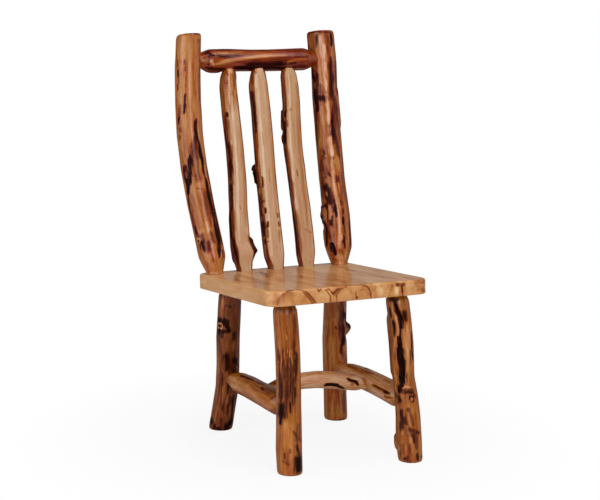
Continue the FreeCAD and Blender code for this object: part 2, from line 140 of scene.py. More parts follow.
seat_points = np.concatenate([vertices_of(node) for node in SEAT_NODES])
seat_spans = [(float((seat_points @ way).min()), float((seat_points @ way).max()))
              for way in (np.array((1.0, 0, 0)), np.array(seat_back), np.array(seat_up))]
seat_middle_x = sum(seat_spans[0]) / 2
seat_middle = (Vector((seat_middle_x, 0, 0)) + seat_back * (sum(seat_spans[1]) / 2)
               + seat_up * seat_spans[2][1])
seat_thickness = seat_spans[2][1] - seat_spans[2][0]
print("seat tilt %.2f degrees, middle of its top %s" % (math.degrees(seat_tilt), seat_middle[:]))

view_azimuth, view_elevation = math.radians(-26.4), math.radians(10.3)
view_distance = 4.21
view_roll = math.radians(-0.92)
lens_pixels = 1602            # focal length, counted in the photograph's pixels
aim_right, aim_height = -0.0274, 0.5295
sensor_wide = 36.0

view_back = Vector((math.sin(view_azimuth) * math.cos(view_elevation),
                    -math.cos(view_azimuth) * math.cos(view_elevation), math.sin(view_elevation)))
view_right = Vector((math.cos(view_azimuth), math.sin(view_azimuth), 0))
view_up = view_back.cross(view_right)
eye = (Vector((seat_middle.x, seat_middle.y, 0)) + view_right * aim_right
       + Vector((0, 0, aim_height)) + view_back * view_distance)
frame_right = view_right * math.cos(view_roll) - view_up * math.sin(view_roll)
frame_up = view_right * math.sin(view_roll) + view_up * math.cos(view_roll)

camera_data = bpy.data.cameras.new("photograph_view")
camera_data.sensor_fit = "HORIZONTAL"
camera_data.sensor_width = sensor_wide
camera_data.lens = lens_pixels * sensor_wide / PHOTO_WIDE
camera = bpy.data.objects.new("photograph_view", camera_data)
bpy.context.scene.collection.objects.link(camera)
camera.matrix_world = Matrix.Translation(eye) @ Matrix(
    (frame_right, frame_up, view_back)).transposed().to_4x4()
bpy.context.scene.camera = camera
bpy.context.scene.view_settings.view_transform = "Standard"


def sight(px, py):
    """Direction from the eye through a place in the photograph."""
    return (frame_right * ((px - PHOTO_WIDE / 2) / lens_pixels)
            + frame_up * ((PHOTO_HIGH / 2 - py) / lens_pixels) - view_back).normalized()


pixel_size = view_distance / lens_pixels
print("lens %.1f mm, one photograph pixel is %.2f mm" % (camera_data.lens, pixel_size / MM))

# %% [markdown]
# A catalogue photograph: pale paper that turns up into a white wall, and large soft lamps. A tall
# soft box stands almost straight in front, so its highlights run narrow and upright near each
# pole's middle. A broad lamp on the left and one above light the seat and open the shadows, and a
# weak one on the right leaves that side darker. The camera sees the paper go white away from the
# feet, while the unseen room gives the chair only a little light.

# %% Floor, backdrop and lights
floor_half_width, floor_front, floor_back, wall_bend, wall_height = 7.0, -1.3, 3.0, 1.5, 5.0
bend_steps = 16
shadow_near, shadow_far, white_near = 0.25, 0.8, 0.9   # the paper's white rises between these distances
room_glow = 0.16
sweep = [(floor_front, 0.0), (floor_back, 0.0)]
for step in range(1, bend_steps + 1):
    turn = math.pi / 2 * step / bend_steps
    sweep.append((floor_back + wall_bend * math.sin(turn), wall_bend * (1 - math.cos(turn))))
sweep.append((floor_back + wall_bend, wall_height))
sweep_mesh = bpy.data.meshes.new("studio_sweep")
sweep_mesh.from_pydata([(x, y, z) for y, z in sweep for x in (-floor_half_width, floor_half_width)], [],
                       [(2 * i, 2 * i + 1, 2 * i + 3, 2 * i + 2) for i in range(len(sweep) - 1)])
sweep_mesh.polygons.foreach_set("use_smooth", [True] * len(sweep_mesh.polygons))
studio_sweep = bpy.data.objects.new("studio_sweep", sweep_mesh)
studio_sweep.matrix_world = Matrix.Rotation(view_azimuth, 4, "Z")
bpy.context.scene.collection.objects.link(studio_sweep)
print("paper sweep: %d faces" % len(sweep_mesh.polygons))

# %% Paper and room
# matt paper that takes the chair's shadow, and glows white to the camera
paper = bpy.data.materials.new("white_studio_paper")
paper.use_nodes = True
tree = paper.node_tree
tree.nodes.clear()
matt = add(tree, "ShaderNodeBsdfDiffuse", sets={"Color": linear("#D2D2D2")})
glow = add(tree, "ShaderNodeEmission", sets={"Color": linear("#FFFFFF"), "Strength": 1.0})
light_path = add(tree, "ShaderNodeLightPath")
place = add(tree, "ShaderNodeNewGeometry")
far = add(tree, "ShaderNodeVectorMath", {0: place.outputs["Position"]}, operation="LENGTH")
fade = add(tree, "ShaderNodeMapRange", {"Value": far.outputs["Value"]},
           {"From Min": shadow_near, "From Max": shadow_far, "To Min": white_near, "To Max": 1.0})
share = add(tree, "ShaderNodeMath", {0: fade.outputs[0], 1: light_path.outputs["Is Camera Ray"]},
            operation="MULTIPLY")
blend = add(tree, "ShaderNodeMixShader", {0: share.outputs[0], 1: matt.outputs[0], 2: glow.outputs[0]})
add(tree, "ShaderNodeOutputMaterial", {"Surface": blend.outputs[0]})
sweep_mesh.materials.append(paper)

world = bpy.data.worlds.new("soft_room")
world.use_nodes = True
tree = world.node_tree
tree.nodes.clear()
light_path = add(tree, "ShaderNodeLightPath")
seen = add(tree, "ShaderNodeMapRange", {"Value": light_path.outputs["Is Camera Ray"]},
           {"To Min": room_glow, "To Max": 1.0})
room = add(tree, "ShaderNodeBackground", {"Strength": seen.outputs[0]}, {"Color": linear("#FFFFFF")})
add(tree, "ShaderNodeOutputWorld", {"Surface": room.outputs[0]})
bpy.context.scene.world = world
print("the room lights the chair at %.2f of white" % room_glow)

# %% Lamps
# each lamp: name, degrees round the chair, height, distance, width and height of the box, watts
LAMPS = (("front_box", -9, 1.3, 2.9, 0.95, 2.0, 40), ("left_box", -80, 1.3, 2.8, 3.0, 2.6, 55),
         ("right_box", 70, 1.4, 3.0, 2.0, 2.2, 16), ("top_box", 20, 3.2, 1.2, 1.8, 1.8, 48))
lamp_aim = Vector((0, 0, 0.55))
for name, azimuth, height, distance, wide, high, power in LAMPS:
    lamp = bpy.data.lights.new(name, "AREA")
    lamp.shape = "RECTANGLE"
    lamp.size, lamp.size_y, lamp.energy = wide, high, power
    turn = math.radians(azimuth)
    lamp_object = bpy.data.objects.new(name, lamp)
    lamp_object.location = Vector((math.sin(turn) * distance, -math.cos(turn) * distance, height))
    lamp_object.rotation_euler = (lamp_object.location - lamp_aim).to_track_quat("Z", "Y").to_euler()
    bpy.context.scene.collection.objects.link(lamp_object)
print("lamps:", ", ".join(lamp[0] for lamp in LAMPS))

# %% [markdown]
# A peeled pole is never a cylinder: it bends, swells at old branches and keeps the long flats of
# the drawknife. Its CAD solid has the bends and the knots, drawn with few faces. So the skin is
# read from the solid by rays, ring by ring, softened until the flats melt into each other, and
# then given its own small waves. Rays that fall into a mortise are filled in from their sides.

# %% Read a pole's shape from the frame
RAY_TURNS = 60
RAY_STEP = 5 * MM
RAY_REACH = 0.15
RAY_ANGLES = np.arange(RAY_TURNS) * 2 * math.pi / RAY_TURNS
FRONT_TURN = 1.5 * math.pi      # a sawn face looks to the front
MORTISE_SHARE = 0.84            # a shorter ray than this share of its ring's fell into a mortise
SAW_CORE, SAW_SPREAD = 28, 60   # degrees either side of the front: surely sawn, and perhaps sawn
SAW_DEPTH = 1.02                # within the spread, a ray under this share of its ring's was sawn off
BEND_SOFT = (2.0,)              # stations over which the middle line and the saw's depth are smoothed
print("rays every %.0f mm, %d round each pole" % (RAY_STEP / MM, RAY_TURNS))


def blurred(field, widths):
    """Soften a grid of rings by Gaussian weights: along the pole, then round it."""
    for axis, width in enumerate(widths):
        if width <= 0:
            continue
        half = int(3 * width) + 1
        weights = np.exp(-0.5 * (np.arange(-half, half + 1) / width) ** 2)
        weights /= weights.sum()
        pads = [(0, 0)] * field.ndim
        pads[axis] = (half, half)
        padded = np.pad(field, pads, mode="edge" if axis == 0 else "wrap")
        field = sum(weight * np.take(padded, range(k, k + field.shape[axis]), axis)
                    for k, weight in enumerate(weights))
    return field


class PoleShape:
    """Middle line and radii of a pole, read from its CAD node."""

    def __init__(self, node, ways, level_rings, sawn):
        points = vertices_of(node)
        run = np.cross(ways[0], ways[1]).astype(float)
        self.low, self.high = (self.end_middle(points @ run * side, points) for side in (-1, 1))
        if not level_rings:
            run = (self.high - self.low) / np.linalg.norm(self.high - self.low)
        deep = np.array(ways[1], float) - run * (run @ ways[1])
        self.run, self.deep = run, deep / np.linalg.norm(deep)
        self.wide = np.cross(self.deep, run)
        self.length = float((self.high - self.low) @ run)
        self.shell = shell_of(node)
        self.sawn = sawn

    def end_middle(self, reach, points):
        """Middle of a pole's end, from the corners that lie within a few millimetres of it."""
        return points[reach > reach.max() - 5 * MM].mean(0)

    def line_at(self, along):
        """Straight line between the ends, at distances from the low end."""
        return self.low + np.outer(along, (self.high - self.low) / self.length)

    def read(self, start, stop):
        """Rays from outside to the middle line, at stations between two distances."""
        self.span = (start, stop)
        count = max(3, int(round((stop - start) / RAY_STEP)) + 1)
        self.stations = np.linspace(start, stop, count)
        self.offsets = np.zeros((count, 2))
        for _ in range(3):
            filled = self.filled(self.cast())
            moves = [(filled * way(RAY_ANGLES)).mean(1) for way in (np.cos, np.sin)]
            self.offsets = blurred(self.offsets + 2 * np.stack(moves, 1), BEND_SOFT)
        radii = self.cast()
        if self.sawn:
            front = np.abs(np.degrees(RAY_ANGLES - FRONT_TURN)) < SAW_CORE
            self.saw = blurred((radii[:, front] * -np.sin(RAY_ANGLES[front])).mean(1), BEND_SOFT)
        self.radii = self.filled(radii)

    def middles(self, along):
        """The bent middle line at distances along the pole."""
        wide, deep = (np.interp(along, self.stations, column) for column in self.offsets.T)
        return self.line_at(along) + np.outer(wide, self.wide) + np.outer(deep, self.deep)

    def cast(self):
        """Distance from the middle line to the solid's skin, for each station and angle."""
        radii = np.zeros((len(self.stations), RAY_TURNS))
        ways = np.outer(np.cos(RAY_ANGLES), self.wide) + np.outer(np.sin(RAY_ANGLES), self.deep)
        outs = [Vector(way) for way in ways]
        for i, middle in enumerate(self.middles(self.stations)):
            for j, out in enumerate(outs):
                hit = self.shell.ray_cast(Vector(middle) + out * RAY_REACH, -out, 2 * RAY_REACH)
                radii[i, j] = RAY_REACH - hit[3] if hit[0] else 0.0
        return radii

    def filled(self, radii):
        """Bridge mortises and saw cuts with the skin on either side of them."""
        result = radii.copy()
        places = np.arange(RAY_TURNS)
        for row in result:
            middle = np.median(row)
            low = row < MORTISE_SHARE * middle
            if self.sawn:
                front = np.abs(np.degrees(RAY_ANGLES - FRONT_TURN)) < SAW_SPREAD
                low |= front & (row < SAW_DEPTH * middle)
            low = low | np.roll(low, 1) | np.roll(low, -1)
            if low.all():
                row[:] = middle
            elif low.any():
                row[low] = np.interp(places[low], places[~low], row[~low], period=RAY_TURNS)
        return result


# %% Random waves
def waves(rng, *sets):
    """A recipe for smooth random waves: whole waves round a pole, any along it."""
    return [(int(rng.integers(0, most_round + 1)), rng.uniform(-along, along),
             rng.uniform(0, 2 * math.pi), strength * rng.uniform(0.4, 1.0) / count)
            for count, most_round, along, strength in sets for _ in range(count)]


def wave_height(recipe, turn, along):
    """Sum of a recipe's waves at turns and distances."""
    return sum(strength * np.sin(whole * turn + rate * along + phase)
               for whole, rate, phase, strength in recipe)


test_waves = waves(np.random.default_rng(1), (7, 3, 60, 1.0))
print("seven waves, at one place: %.3f" % wave_height(test_waves, 0.0, 0.1))

# %% [markdown]
# Marks are laid on the skin like brush strokes: a dark streak where the drawknife left some of the
# inner bark, a knot, a paler scraped place. Each stroke follows places in the photograph, and a
# sight line carries them to the pole, so they sit on it from any side. A stroke is (tone, half width,
# places, softness): the tone is 0 for burnt black bark, 0.5 for red-brown wood and 1 for the
# palest, the width and the places are in the photograph's pixels, and the softness of its edge,
# which may be left out, is in millimetres.
# Some strokes are painted light: pale ones where a lamp's highlight runs down a pole or along a sawn arris,
# and dark ones where shade falls under the seat, under a pole or along an outline.

# %% Strokes of tone on a pole
# a stroke over SLIM_FROM half widths long begins to taper, one SLIM_OVER longer tapers fully
SLIM_FROM, SLIM_OVER = 3, 9
TAPER, TAPER_RATE = 0.6, 4               # share of the width lost at its tips, and how fast it comes back
EDGE_SOFT, EDGE_SHARE = 1.6 * MM, 0.9    # a stroke's soft edge: the least, and more for a wide stroke
SCATTER_SOFT = 4.5
print("a one-pixel stroke has an edge %.1f mm soft" % ((EDGE_SOFT + EDGE_SHARE * pixel_size) / MM))


def on_pole(shape, px, py):
    """Where a sight line meets a pole: (turn round it, distance along it)."""
    way = sight(px, py)
    hit = shape.shell.ray_cast(eye, way)[0]
    if hit is None:
        middle = Vector(shape.middles(np.array([shape.length / 2]))[0])
        hit = eye + way * (middle - eye).dot(way)
        for _ in range(4):
            along = np.clip((np.array(hit) - shape.low) @ shape.run, *shape.span)
            middle = Vector(shape.middles(np.array([along]))[0])
            hit = eye + way * (middle - eye).dot(way)
    hit = np.array(hit)
    along = (hit - shape.low) @ shape.run
    off = hit - shape.middles(np.array([along]))[0]
    return math.atan2(off @ shape.deep, off @ shape.wide), along


def around(turn, other, girth):
    """Distance round a pole from one turn to another, the short way."""
    return ((turn - other + math.pi) % (2 * math.pi) - math.pi) * girth


def stroke_mask(skin, points, half_width, soft, ragged):
    """How far each place of the skin is covered by a stroke of (turn, along) points."""
    best = np.full(skin.turns.shape, 1e3)
    where = np.full(skin.turns.shape, 0.5)
    pairs = list(zip(points, points[1:])) or [(points[0], points[0])]
    runs = [(around(b[0], a[0], skin.girth), b[1] - a[1]) for a, b in pairs]
    whole = sum(math.hypot(*run) for run in runs)
    passed = 0.0
    for (start, _), run in zip(pairs, runs):
        across, forward = around(skin.turns, start[0], skin.girth), skin.alongs - start[1]
        length = math.hypot(*run)
        share = 0.0
        if length > 0:
            share = np.clip((across * run[0] + forward * run[1]) / length ** 2, 0, 1)
        gap = np.hypot(across - share * run[0], forward - share * run[1])
        if whole > 0:
            where = np.where(gap < best, (passed + share * length) / whole, where)
        best = np.minimum(best, gap)
        passed += length
    # a long, slim stroke runs out thin at both ends
    slim = np.clip((whole / half_width - SLIM_FROM) / SLIM_OVER, 0, 1)
    taper = 1 - slim * np.maximum(0, TAPER - TAPER_RATE * np.minimum(where, 1 - where))
    return np.clip((half_width * taper * (1 + ragged) - best) / soft + 0.5, 0, 1)


# %% Strokes at places of the photograph
def laid_stroke(skin, half_width, places, raggedness, soft=None):
    """Mask of a stroke whose places and half width are in the photograph's pixels."""
    points = [on_pole(skin.shape, px, py) for px, py in places]
    half_width = half_width * pixel_size
    return stroke_mask(skin, points, half_width, soft or EDGE_SOFT + EDGE_SHARE * half_width,
                       raggedness * skin.ragged)


def scattered(seed, count, start, stop, spread, lengths, widths, tones):
    """Short random marks along a pole, either side of a line between two places."""
    rng = np.random.default_rng(seed)
    slope = (stop[0] - start[0]) / (stop[1] - start[1])
    marks = []
    for _ in range(count):
        py = rng.uniform(start[1], stop[1])
        px = start[0] + (py - start[1]) * slope + rng.uniform(-spread, spread)
        long = rng.uniform(*lengths)
        marks.append((float(rng.choice(tones)), rng.uniform(*widths),
                      ((px, py), (px + long * slope, py + long)), SCATTER_SOFT))
    return tuple(marks)


print("a chance mark:", scattered(1, 1, (324, 60), (328, 148), 11, (4, 14), (0.6, 1.8), (0.12, 0.2))[0][:2])

# %% [markdown]
# The skin itself is a grid of rings. A sawn spindle has its corner lines exactly where the saw left
# the round, so that the arris stays crisp, and its flat gets a colour scale of its own. Its head
# was shaved round by hand where it enters the rail, and there the flat runs out.

# %% The skin's rings
SKIN_TURNS = 108
SKIN_STEP = 2.3 * MM
END_GAP = 0.3 * MM
WAVE_HEIGHT, END_WAVES = 0.81 * MM, 0.35          # half a hand-shaved wave, and its share at the ends
SOFT_LONG, SOFT_SHORT, SOFT_ROUND = 2.0, 1.0, 1.3  # rings and rays over which the flats melt together
SHORT_POLE = 60                                    # rings
END_KEEP = 6 * MM                                  # the ends keep the solid's own edges this far
FOOT_GIRTH, HEAD_GIRTH = 26 * MM, 30 * MM
# sets of waves: how many, whole waves round the pole, rate along it (a metre), strength
SWELL_WAVES = ((7, 3, 60, 1.0), (9, 7, 120, 0.5))
# a spindle's head: distances under the rail and the radii there, in millimetres
HEAD_PROFILE = ((-16, 8.0), (-10, 13.0), (-4, 15.5), (2, 17.5), (10, 20.5), (20, 22.5), (34, 21.5),
                (60, 12.0))
HEAD_FULLER, HEAD_FULL = 0.3, 24 * MM    # the head is fuller in front, this far below the rail
FLAT_RUN_OUT, FLAT_COLOUR_STOP = 50 * MM, 20 * MM
SAW_GUESS, SAW_SLIMMEST = 0.8, 0.985     # a sawn face's half angle to begin with, and its highest cosine
print("skin rings every %.1f mm, %d corners in each" % (SKIN_STEP / MM, SKIN_TURNS))


def clear_span(shape, cuts):
    """Distances between which whole rings of the skin lie clear of the planes that cut a pole."""
    start, stop = END_GAP, shape.length - END_GAP
    along = np.linspace(0, shape.length, 400)
    lines = shape.line_at(along)
    for (point, normal), low_end in cuts:
        girth = FOOT_GIRTH if low_end else HEAD_GIRTH
        tips = [(lines + side * girth * way - point) @ normal
                for way in (shape.wide, shape.deep) for side in (-1, 1)]
        inside = along[np.min(tips, 0) > 0 if low_end else np.max(tips, 0) < 0]
        start, stop = (inside[0] + MM, stop) if low_end else (start, inside[-1] - MM)
    return start, stop


def soft_radii(shape, along):
    """The solid's radii with its flats melted together, and how far each ring is from the ends."""
    plain = np.stack([np.interp(along, shape.stations, column) for column in shape.radii.T], 1)
    soft = blurred(plain, (SOFT_LONG if len(along) > SHORT_POLE else SOFT_SHORT, SOFT_ROUND))
    inner = np.clip(np.minimum(along - along[0], along[-1] - along) / END_KEEP, 0, 1)[:, None]
    return plain * (1 - inner) + soft * inner, inner


# %% Sawn faces and shaved heads
def round_off_head(skin, flat_end):
    """Blunt, hand-shaved head of a spindle; returns how much of the saw's flat is left."""
    shape = skin.shape
    below = (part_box("top_rail")[0].z - shape.middles(skin.along)[:, 2]) / shape.run[2]
    distances, radii = np.array(HEAD_PROFILE).T * MM
    target = np.interp(below, distances, radii, left=0.0, right=0.0)
    near_rail = np.clip(1 - below / HEAD_FULL, 0, 1)[:, None]
    fullness = 1 + HEAD_FULLER * np.maximum(-np.sin(RAY_ANGLES), 0) * near_rail
    skin.dense = blurred(np.maximum(skin.dense, target[:, None] * fullness), (SOFT_LONG, 0))
    flat_x, flat_y, fade = flat_end
    flat_stop = on_pole(shape, flat_x, flat_y)[1]
    out = np.clip((shape.stations - flat_stop) / FLAT_RUN_OUT + 0.5, 0, 1)
    round_reach = np.interp(shape.stations, skin.along, skin.dense.max(1))
    shape.saw = shape.saw + (round_reach - shape.saw) * out * out * (3 - 2 * out)
    return np.clip((flat_stop + FLAT_COLOUR_STOP - skin.along) / (fade * MM), 0, 1)


def ring_turns(skin):
    """Angles of the skin's corners in each ring, with the arrises of a sawn pole among them."""
    shape, along = skin.shape, skin.along
    if not shape.sawn:
        return np.tile(np.arange(SKIN_TURNS) * 2 * math.pi / SKIN_TURNS, (len(along), 1)), None
    front_count = SKIN_TURNS // 3
    saw = np.interp(along, shape.stations, shape.saw)
    halves = []
    for side in (-1, 1):
        half = np.full(len(along), SAW_GUESS)
        for _ in range(6):
            reach = skin.radii_at(along, FRONT_TURN + side * half)
            half = np.arccos(np.clip(saw / np.maximum(reach, MM), 0.0, SAW_SLIMMEST))
        halves.append(half)
    start, stop = FRONT_TURN - halves[0], FRONT_TURN + halves[1]
    front = start[:, None] + (stop - start)[:, None] * np.arange(front_count) / front_count
    rest = np.arange(SKIN_TURNS - front_count) / (SKIN_TURNS - front_count)
    back = stop[:, None] + (2 * math.pi - (stop - start))[:, None] * rest
    return np.concatenate([front, back], 1), front_count


# %% The grids of one skin
class Skin:
    """Grids over one pole, ring by ring: turns, distances, radii and, later, tones."""

    def __init__(self, shape, seed, flat_end):
        self.shape = shape
        self.rng = np.random.default_rng(seed)
        start, stop = shape.span
        self.along = np.linspace(start, stop, int(round((stop - start) / SKIN_STEP)) + 1)
        self.dense, inner = soft_radii(shape, self.along)
        self.girth = float(np.median(self.dense))
        self.flat_left = round_off_head(self, flat_end) if shape.sawn else None
        self.turns, self.front_count = ring_turns(self)
        self.alongs = np.repeat(self.along[:, None], SKIN_TURNS, 1)
        self.middles = shape.middles(self.along)[:, None, :]
        self.outs = (np.cos(self.turns)[..., None] * shape.wide
                     + np.sin(self.turns)[..., None] * shape.deep)
        ripple = wave_height(waves(self.rng, *SWELL_WAVES), self.turns, self.alongs)
        self.radii = (self.radii_at(self.alongs, self.turns)
                      + (1 + np.clip(ripple, -1, 1)) * WAVE_HEIGHT * (END_WAVES + (1 - END_WAVES) * inner))

    def radii_at(self, at, turn):
        """Radius of the softened solid at distances along the pole and turns round it."""
        column = (turn / (2 * math.pi) * RAY_TURNS) % RAY_TURNS
        low = np.floor(column).astype(int) % RAY_TURNS
        mix = column - np.floor(column)
        last = len(self.along) - 1
        share = (at - self.along[0]) / (self.along[-1] - self.along[0])
        row = np.clip(np.rint(share * last).astype(int), 0, last)
        return self.dense[row, low] * (1 - mix) + self.dense[row, (low + 1) % RAY_TURNS] * mix

    def paint(self, mask, tone):
        self.tones = self.tones * (1 - mask) + tone * mask


# %% [markdown]
# Tones go on in this order: the wood's own colour with long natural drifts, the paler sawn face,
# the strokes of the photograph, among them painted highlights and painted shade, and then painted
# shade that darkens each pole towards its outline as the camera sees it. The sides that the
# photograph hides get chance marks of the same kinds. The healed split, the branch stubs and the
# swellings that a stroke alone would leave flat are dug into the radii or raised.

# %% Paint and dig the skin
DRIFT, FLAT_DRIFT, RAGGED_TONE = 0.11, 0.03, 0.03
DRIFT_WAVES = ((6, 2, 14, 1.0), (8, 5, 30, 0.7))
RAGGED_WAVES = ((12, 26, 130, 3.0),)
STROKE_RAGGED, DIG_RAGGED = 0.5, 0.2
OPEN_FROM, OPEN_OVER = 0.35, 0.75        # angles over which a sawn face goes from bark to open wood
# painted shade towards the outline: how far it reaches in facing, how sharply it grows, how much darker
OUTLINE_SHADE_REACH, OUTLINE_SHADE_POWER, OUTLINE_SHADE_TONE = 0.42, 1.4, 0.17
HIDDEN_SHARE, HIDDEN_RATE = 0.25, 4      # cover of the chance marks edge-on, and how fast it grows
HIDDEN_PER_METRE, HIDDEN_LENGTHS, HIDDEN_WIDTHS = 52, (8, 110), (2, 6)
HIDDEN_LEAN, HIDDEN_SOFT = 0.25, 5 * MM
HIDDEN_TONES = [0.04, 0.12, 0.3, 0.45, 0.6]
print("%d chance marks on each metre of a hidden side" % HIDDEN_PER_METRE)


def paint_wood(skin, tone, flat_tone):
    """The wood's own tone, and the sawn face's where the saw opened it wide enough."""
    drift = wave_height(waves(skin.rng, *DRIFT_WAVES), skin.turns, skin.alongs)
    skin.ragged = wave_height(waves(skin.rng, *RAGGED_WAVES), skin.turns, skin.alongs)
    skin.tones = tone + DRIFT * drift
    skin.flats = np.zeros(skin.tones.shape)
    if skin.shape.sawn:
        opened = skin.turns[:, skin.front_count] - skin.turns[:, 0]
        opened = (np.clip((opened - OPEN_FROM) / OPEN_OVER, 0, 1) * skin.flat_left)[:, None]
        skin.flats[:, :skin.front_count] = opened
        skin.paint(skin.flats, flat_tone + FLAT_DRIFT * drift)


def paint_outline_shade_and_hidden_marks(skin):
    """Painted shade towards the outline as the camera sees it, and chance marks on the sides it doesn't
    see.
    """
    away = skin.middles - np.array(eye)
    away = away / np.linalg.norm(away, axis=2, keepdims=True)
    facing = -(skin.outs * away).sum(2)
    # painted shade: each pole darker towards its outline as the camera sees it
    outline_shade = np.clip(1 - np.abs(facing) / OUTLINE_SHADE_REACH, 0, 1) ** OUTLINE_SHADE_POWER
    outline_shade *= 1 + STROKE_RAGGED * skin.ragged
    if skin.shape.sawn:
        outline_shade[:, :skin.front_count] = 0
    skin.tones = skin.tones - OUTLINE_SHADE_TONE * outline_shade
    hidden = np.clip(HIDDEN_SHARE - HIDDEN_RATE * facing, 0, 1)
    start, stop = skin.shape.span
    draw = skin.rng.uniform
    for _ in range(int(HIDDEN_PER_METRE * (stop - start))):
        at, turn = draw(start, stop), draw(0, 2 * math.pi)
        long, lean = draw(*HIDDEN_LENGTHS) * MM, draw(-HIDDEN_LEAN, HIDDEN_LEAN)
        points = [(turn, at), (turn + lean, at + long)]
        mask = stroke_mask(skin, points, draw(*HIDDEN_WIDTHS) * MM, HIDDEN_SOFT,
                           STROKE_RAGGED * skin.ragged)
        skin.paint(mask * hidden, skin.rng.choice(HIDDEN_TONES))


def dig(skin, digs):
    """Sink, or raise where the depth is negative: (depth mm, half width px, softness mm, places)."""
    for depth, half_width, soft, places in digs:
        mask = laid_stroke(skin, half_width, places, DIG_RAGGED, soft * MM)
        skin.radii = skin.radii - depth * MM * mask
    if skin.shape.sawn:
        saw = np.interp(skin.along, skin.shape.stations, skin.shape.saw)[:, None]
        front_way = -np.sin(skin.turns)
        flat = np.minimum(skin.radii, saw / np.maximum(front_way, 1e-3))
        skin.radii = np.where(front_way > 0, flat, skin.radii)


# %% [markdown]
# Poles that stand on or under the seat are carried on to its plane, corner by corner, and a turned
# shoulder draws a leg in where it meets the seat. The ends are closed by smaller and smaller rings.

# %% Build a pole
CUT_SHARES = (0.2, 0.4, 0.6, 0.8, 1.0)   # rings between the last whole one and the cutting plane
END_SHARES = (0.8, 0.55, 0.3, 0.12)
END_TONE = 0.7
INSIDE = 0.2 * MM                        # the skin keeps this far inside the chair's box
print("a cut end has %d more rings, then %d on its face" % (len(CUT_SHARES), len(END_SHARES)))


def drawn_in(ring, cut, shoulder):
    """How much a turned shoulder leaves of a ring, by its distance from the plane that it meets."""
    (point, normal), (share, tall) = cut, shoulder
    gap = np.clip(np.abs((ring - point) @ normal) / tall, 0, 1)
    return (1 - share * (1 - np.sqrt(1 - (1 - gap) ** 2)))[..., None]


def skin_rings(skin, cuts, shoulder):
    """Rings as (corners, distance along, row of the skin's grids), from foot to head."""
    corners = skin.middles + skin.outs * skin.radii[..., None]
    if shoulder:
        corners = skin.middles + (corners - skin.middles) * drawn_in(corners, cuts[0][0], shoulder)
    rings = [(ring, at, row) for row, (ring, at) in enumerate(zip(corners, skin.along))]
    run = skin.shape.run
    for cut, low_end in cuts:
        point, normal = cut
        row = 0 if low_end else -1
        last = corners[row]
        drop = ((last - point) @ normal) / (run @ normal)
        for share in CUT_SHARES:
            ring = last - np.outer(drop * share, run)
            if shoulder:
                hub = ring.mean(0)
                ring = hub + (ring - hub) * drawn_in(ring, cut, shoulder) / drawn_in(last, cut, shoulder)
            at = float(((ring - skin.shape.low) @ run).mean())
            rings.insert(0 if low_end else len(rings), (ring, at, row))
    low, high = np.array(cad_box[0]) + INSIDE, np.array(cad_box[1]) - INSIDE
    return [(np.clip(ring, low, high), at, row) for ring, at, row in rings]


# %% Mesh and object of a piece
def give_attribute(mesh, name, kind, values):
    """Store one value for each corner of a mesh."""
    layer = mesh.attributes.new(name, kind, "POINT")
    layer.data.foreach_set("vector" if kind == "FLOAT_VECTOR" else "value",
                           np.asarray(values, np.float32).ravel())


def place_piece(node, ending, mesh):
    """An object that rides the frame in its node's stead."""
    piece = bpy.data.objects.new(node + ending, mesh)
    bpy.context.scene.collection.objects.link(piece)
    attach(piece, "root")
    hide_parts(node)
    return piece


def skin_mesh(skin, rings, name):
    """Closed mesh of the rings, with straightened coordinates and tones on its corners."""
    points, straight, tones, flats, faces, kinds = [], [], [], [], [], []

    def lay(ring, at, row, inward=1.0):
        turn, radius = skin.turns[row], skin.radii[row] * inward
        points.extend(ring.mean(0) + (ring - ring.mean(0)) * inward)
        straight.extend(np.stack([radius * np.cos(turn), radius * np.sin(turn),
                                  np.full(SKIN_TURNS, at)], 1))
        on_end = inward < 1
        tones.extend(np.full(SKIN_TURNS, END_TONE) if on_end else skin.tones[row])
        flats.extend(np.zeros(SKIN_TURNS) if on_end else skin.flats[row])
        return list(range(len(points) - SKIN_TURNS, len(points)))

    def join(lower, upper, kind, flip=False):
        for j in range(SKIN_TURNS):
            k = (j + 1) % SKIN_TURNS
            quad = (lower[j], lower[k], upper[k], upper[j])
            faces.append(quad[::-1] if flip else quad)
            kinds.append(kind)

    numbers = [lay(*ring) for ring in rings]
    for lower, upper in zip(numbers, numbers[1:]):
        join(lower, upper, 0)
    for end in (0, -1):
        previous = numbers[end]
        for inward in END_SHARES:
            now = lay(*rings[end], inward)
            join(previous, now, 1, flip=end == 0)
            previous = now
        faces.append(tuple(previous[::-1] if end == 0 else previous))
        kinds.append(1)

    mesh = bpy.data.meshes.new(name)
    mesh.from_pydata([tuple(point) for point in points], [], faces)
    mesh.polygons.foreach_set("material_index", kinds)
    mesh.polygons.foreach_set("use_smooth", [kind != 1 for kind in kinds])
    give_attribute(mesh, "straight", "FLOAT_VECTOR", straight)
    give_attribute(mesh, "tone", "FLOAT", tones)
    if skin.shape.sawn:
        give_attribute(mesh, "flat", "FLOAT", flats)
        mark_arrises(mesh, skin.front_count, len(rings))
    return mesh


def mark_arrises(mesh, front_count, ring_count):
    """Keep the sawn face's two long edges sharp."""
    sharp = {(i * SKIN_TURNS + j, (i + 1) * SKIN_TURNS + j)
             for i in range(ring_count - 1) for j in (0, front_count)}
    layer = mesh.attributes.new("sharp_edge", "BOOLEAN", "EDGE")
    layer.data.foreach_set("value", [tuple(sorted(edge.vertices)) in sharp for edge in mesh.edges])


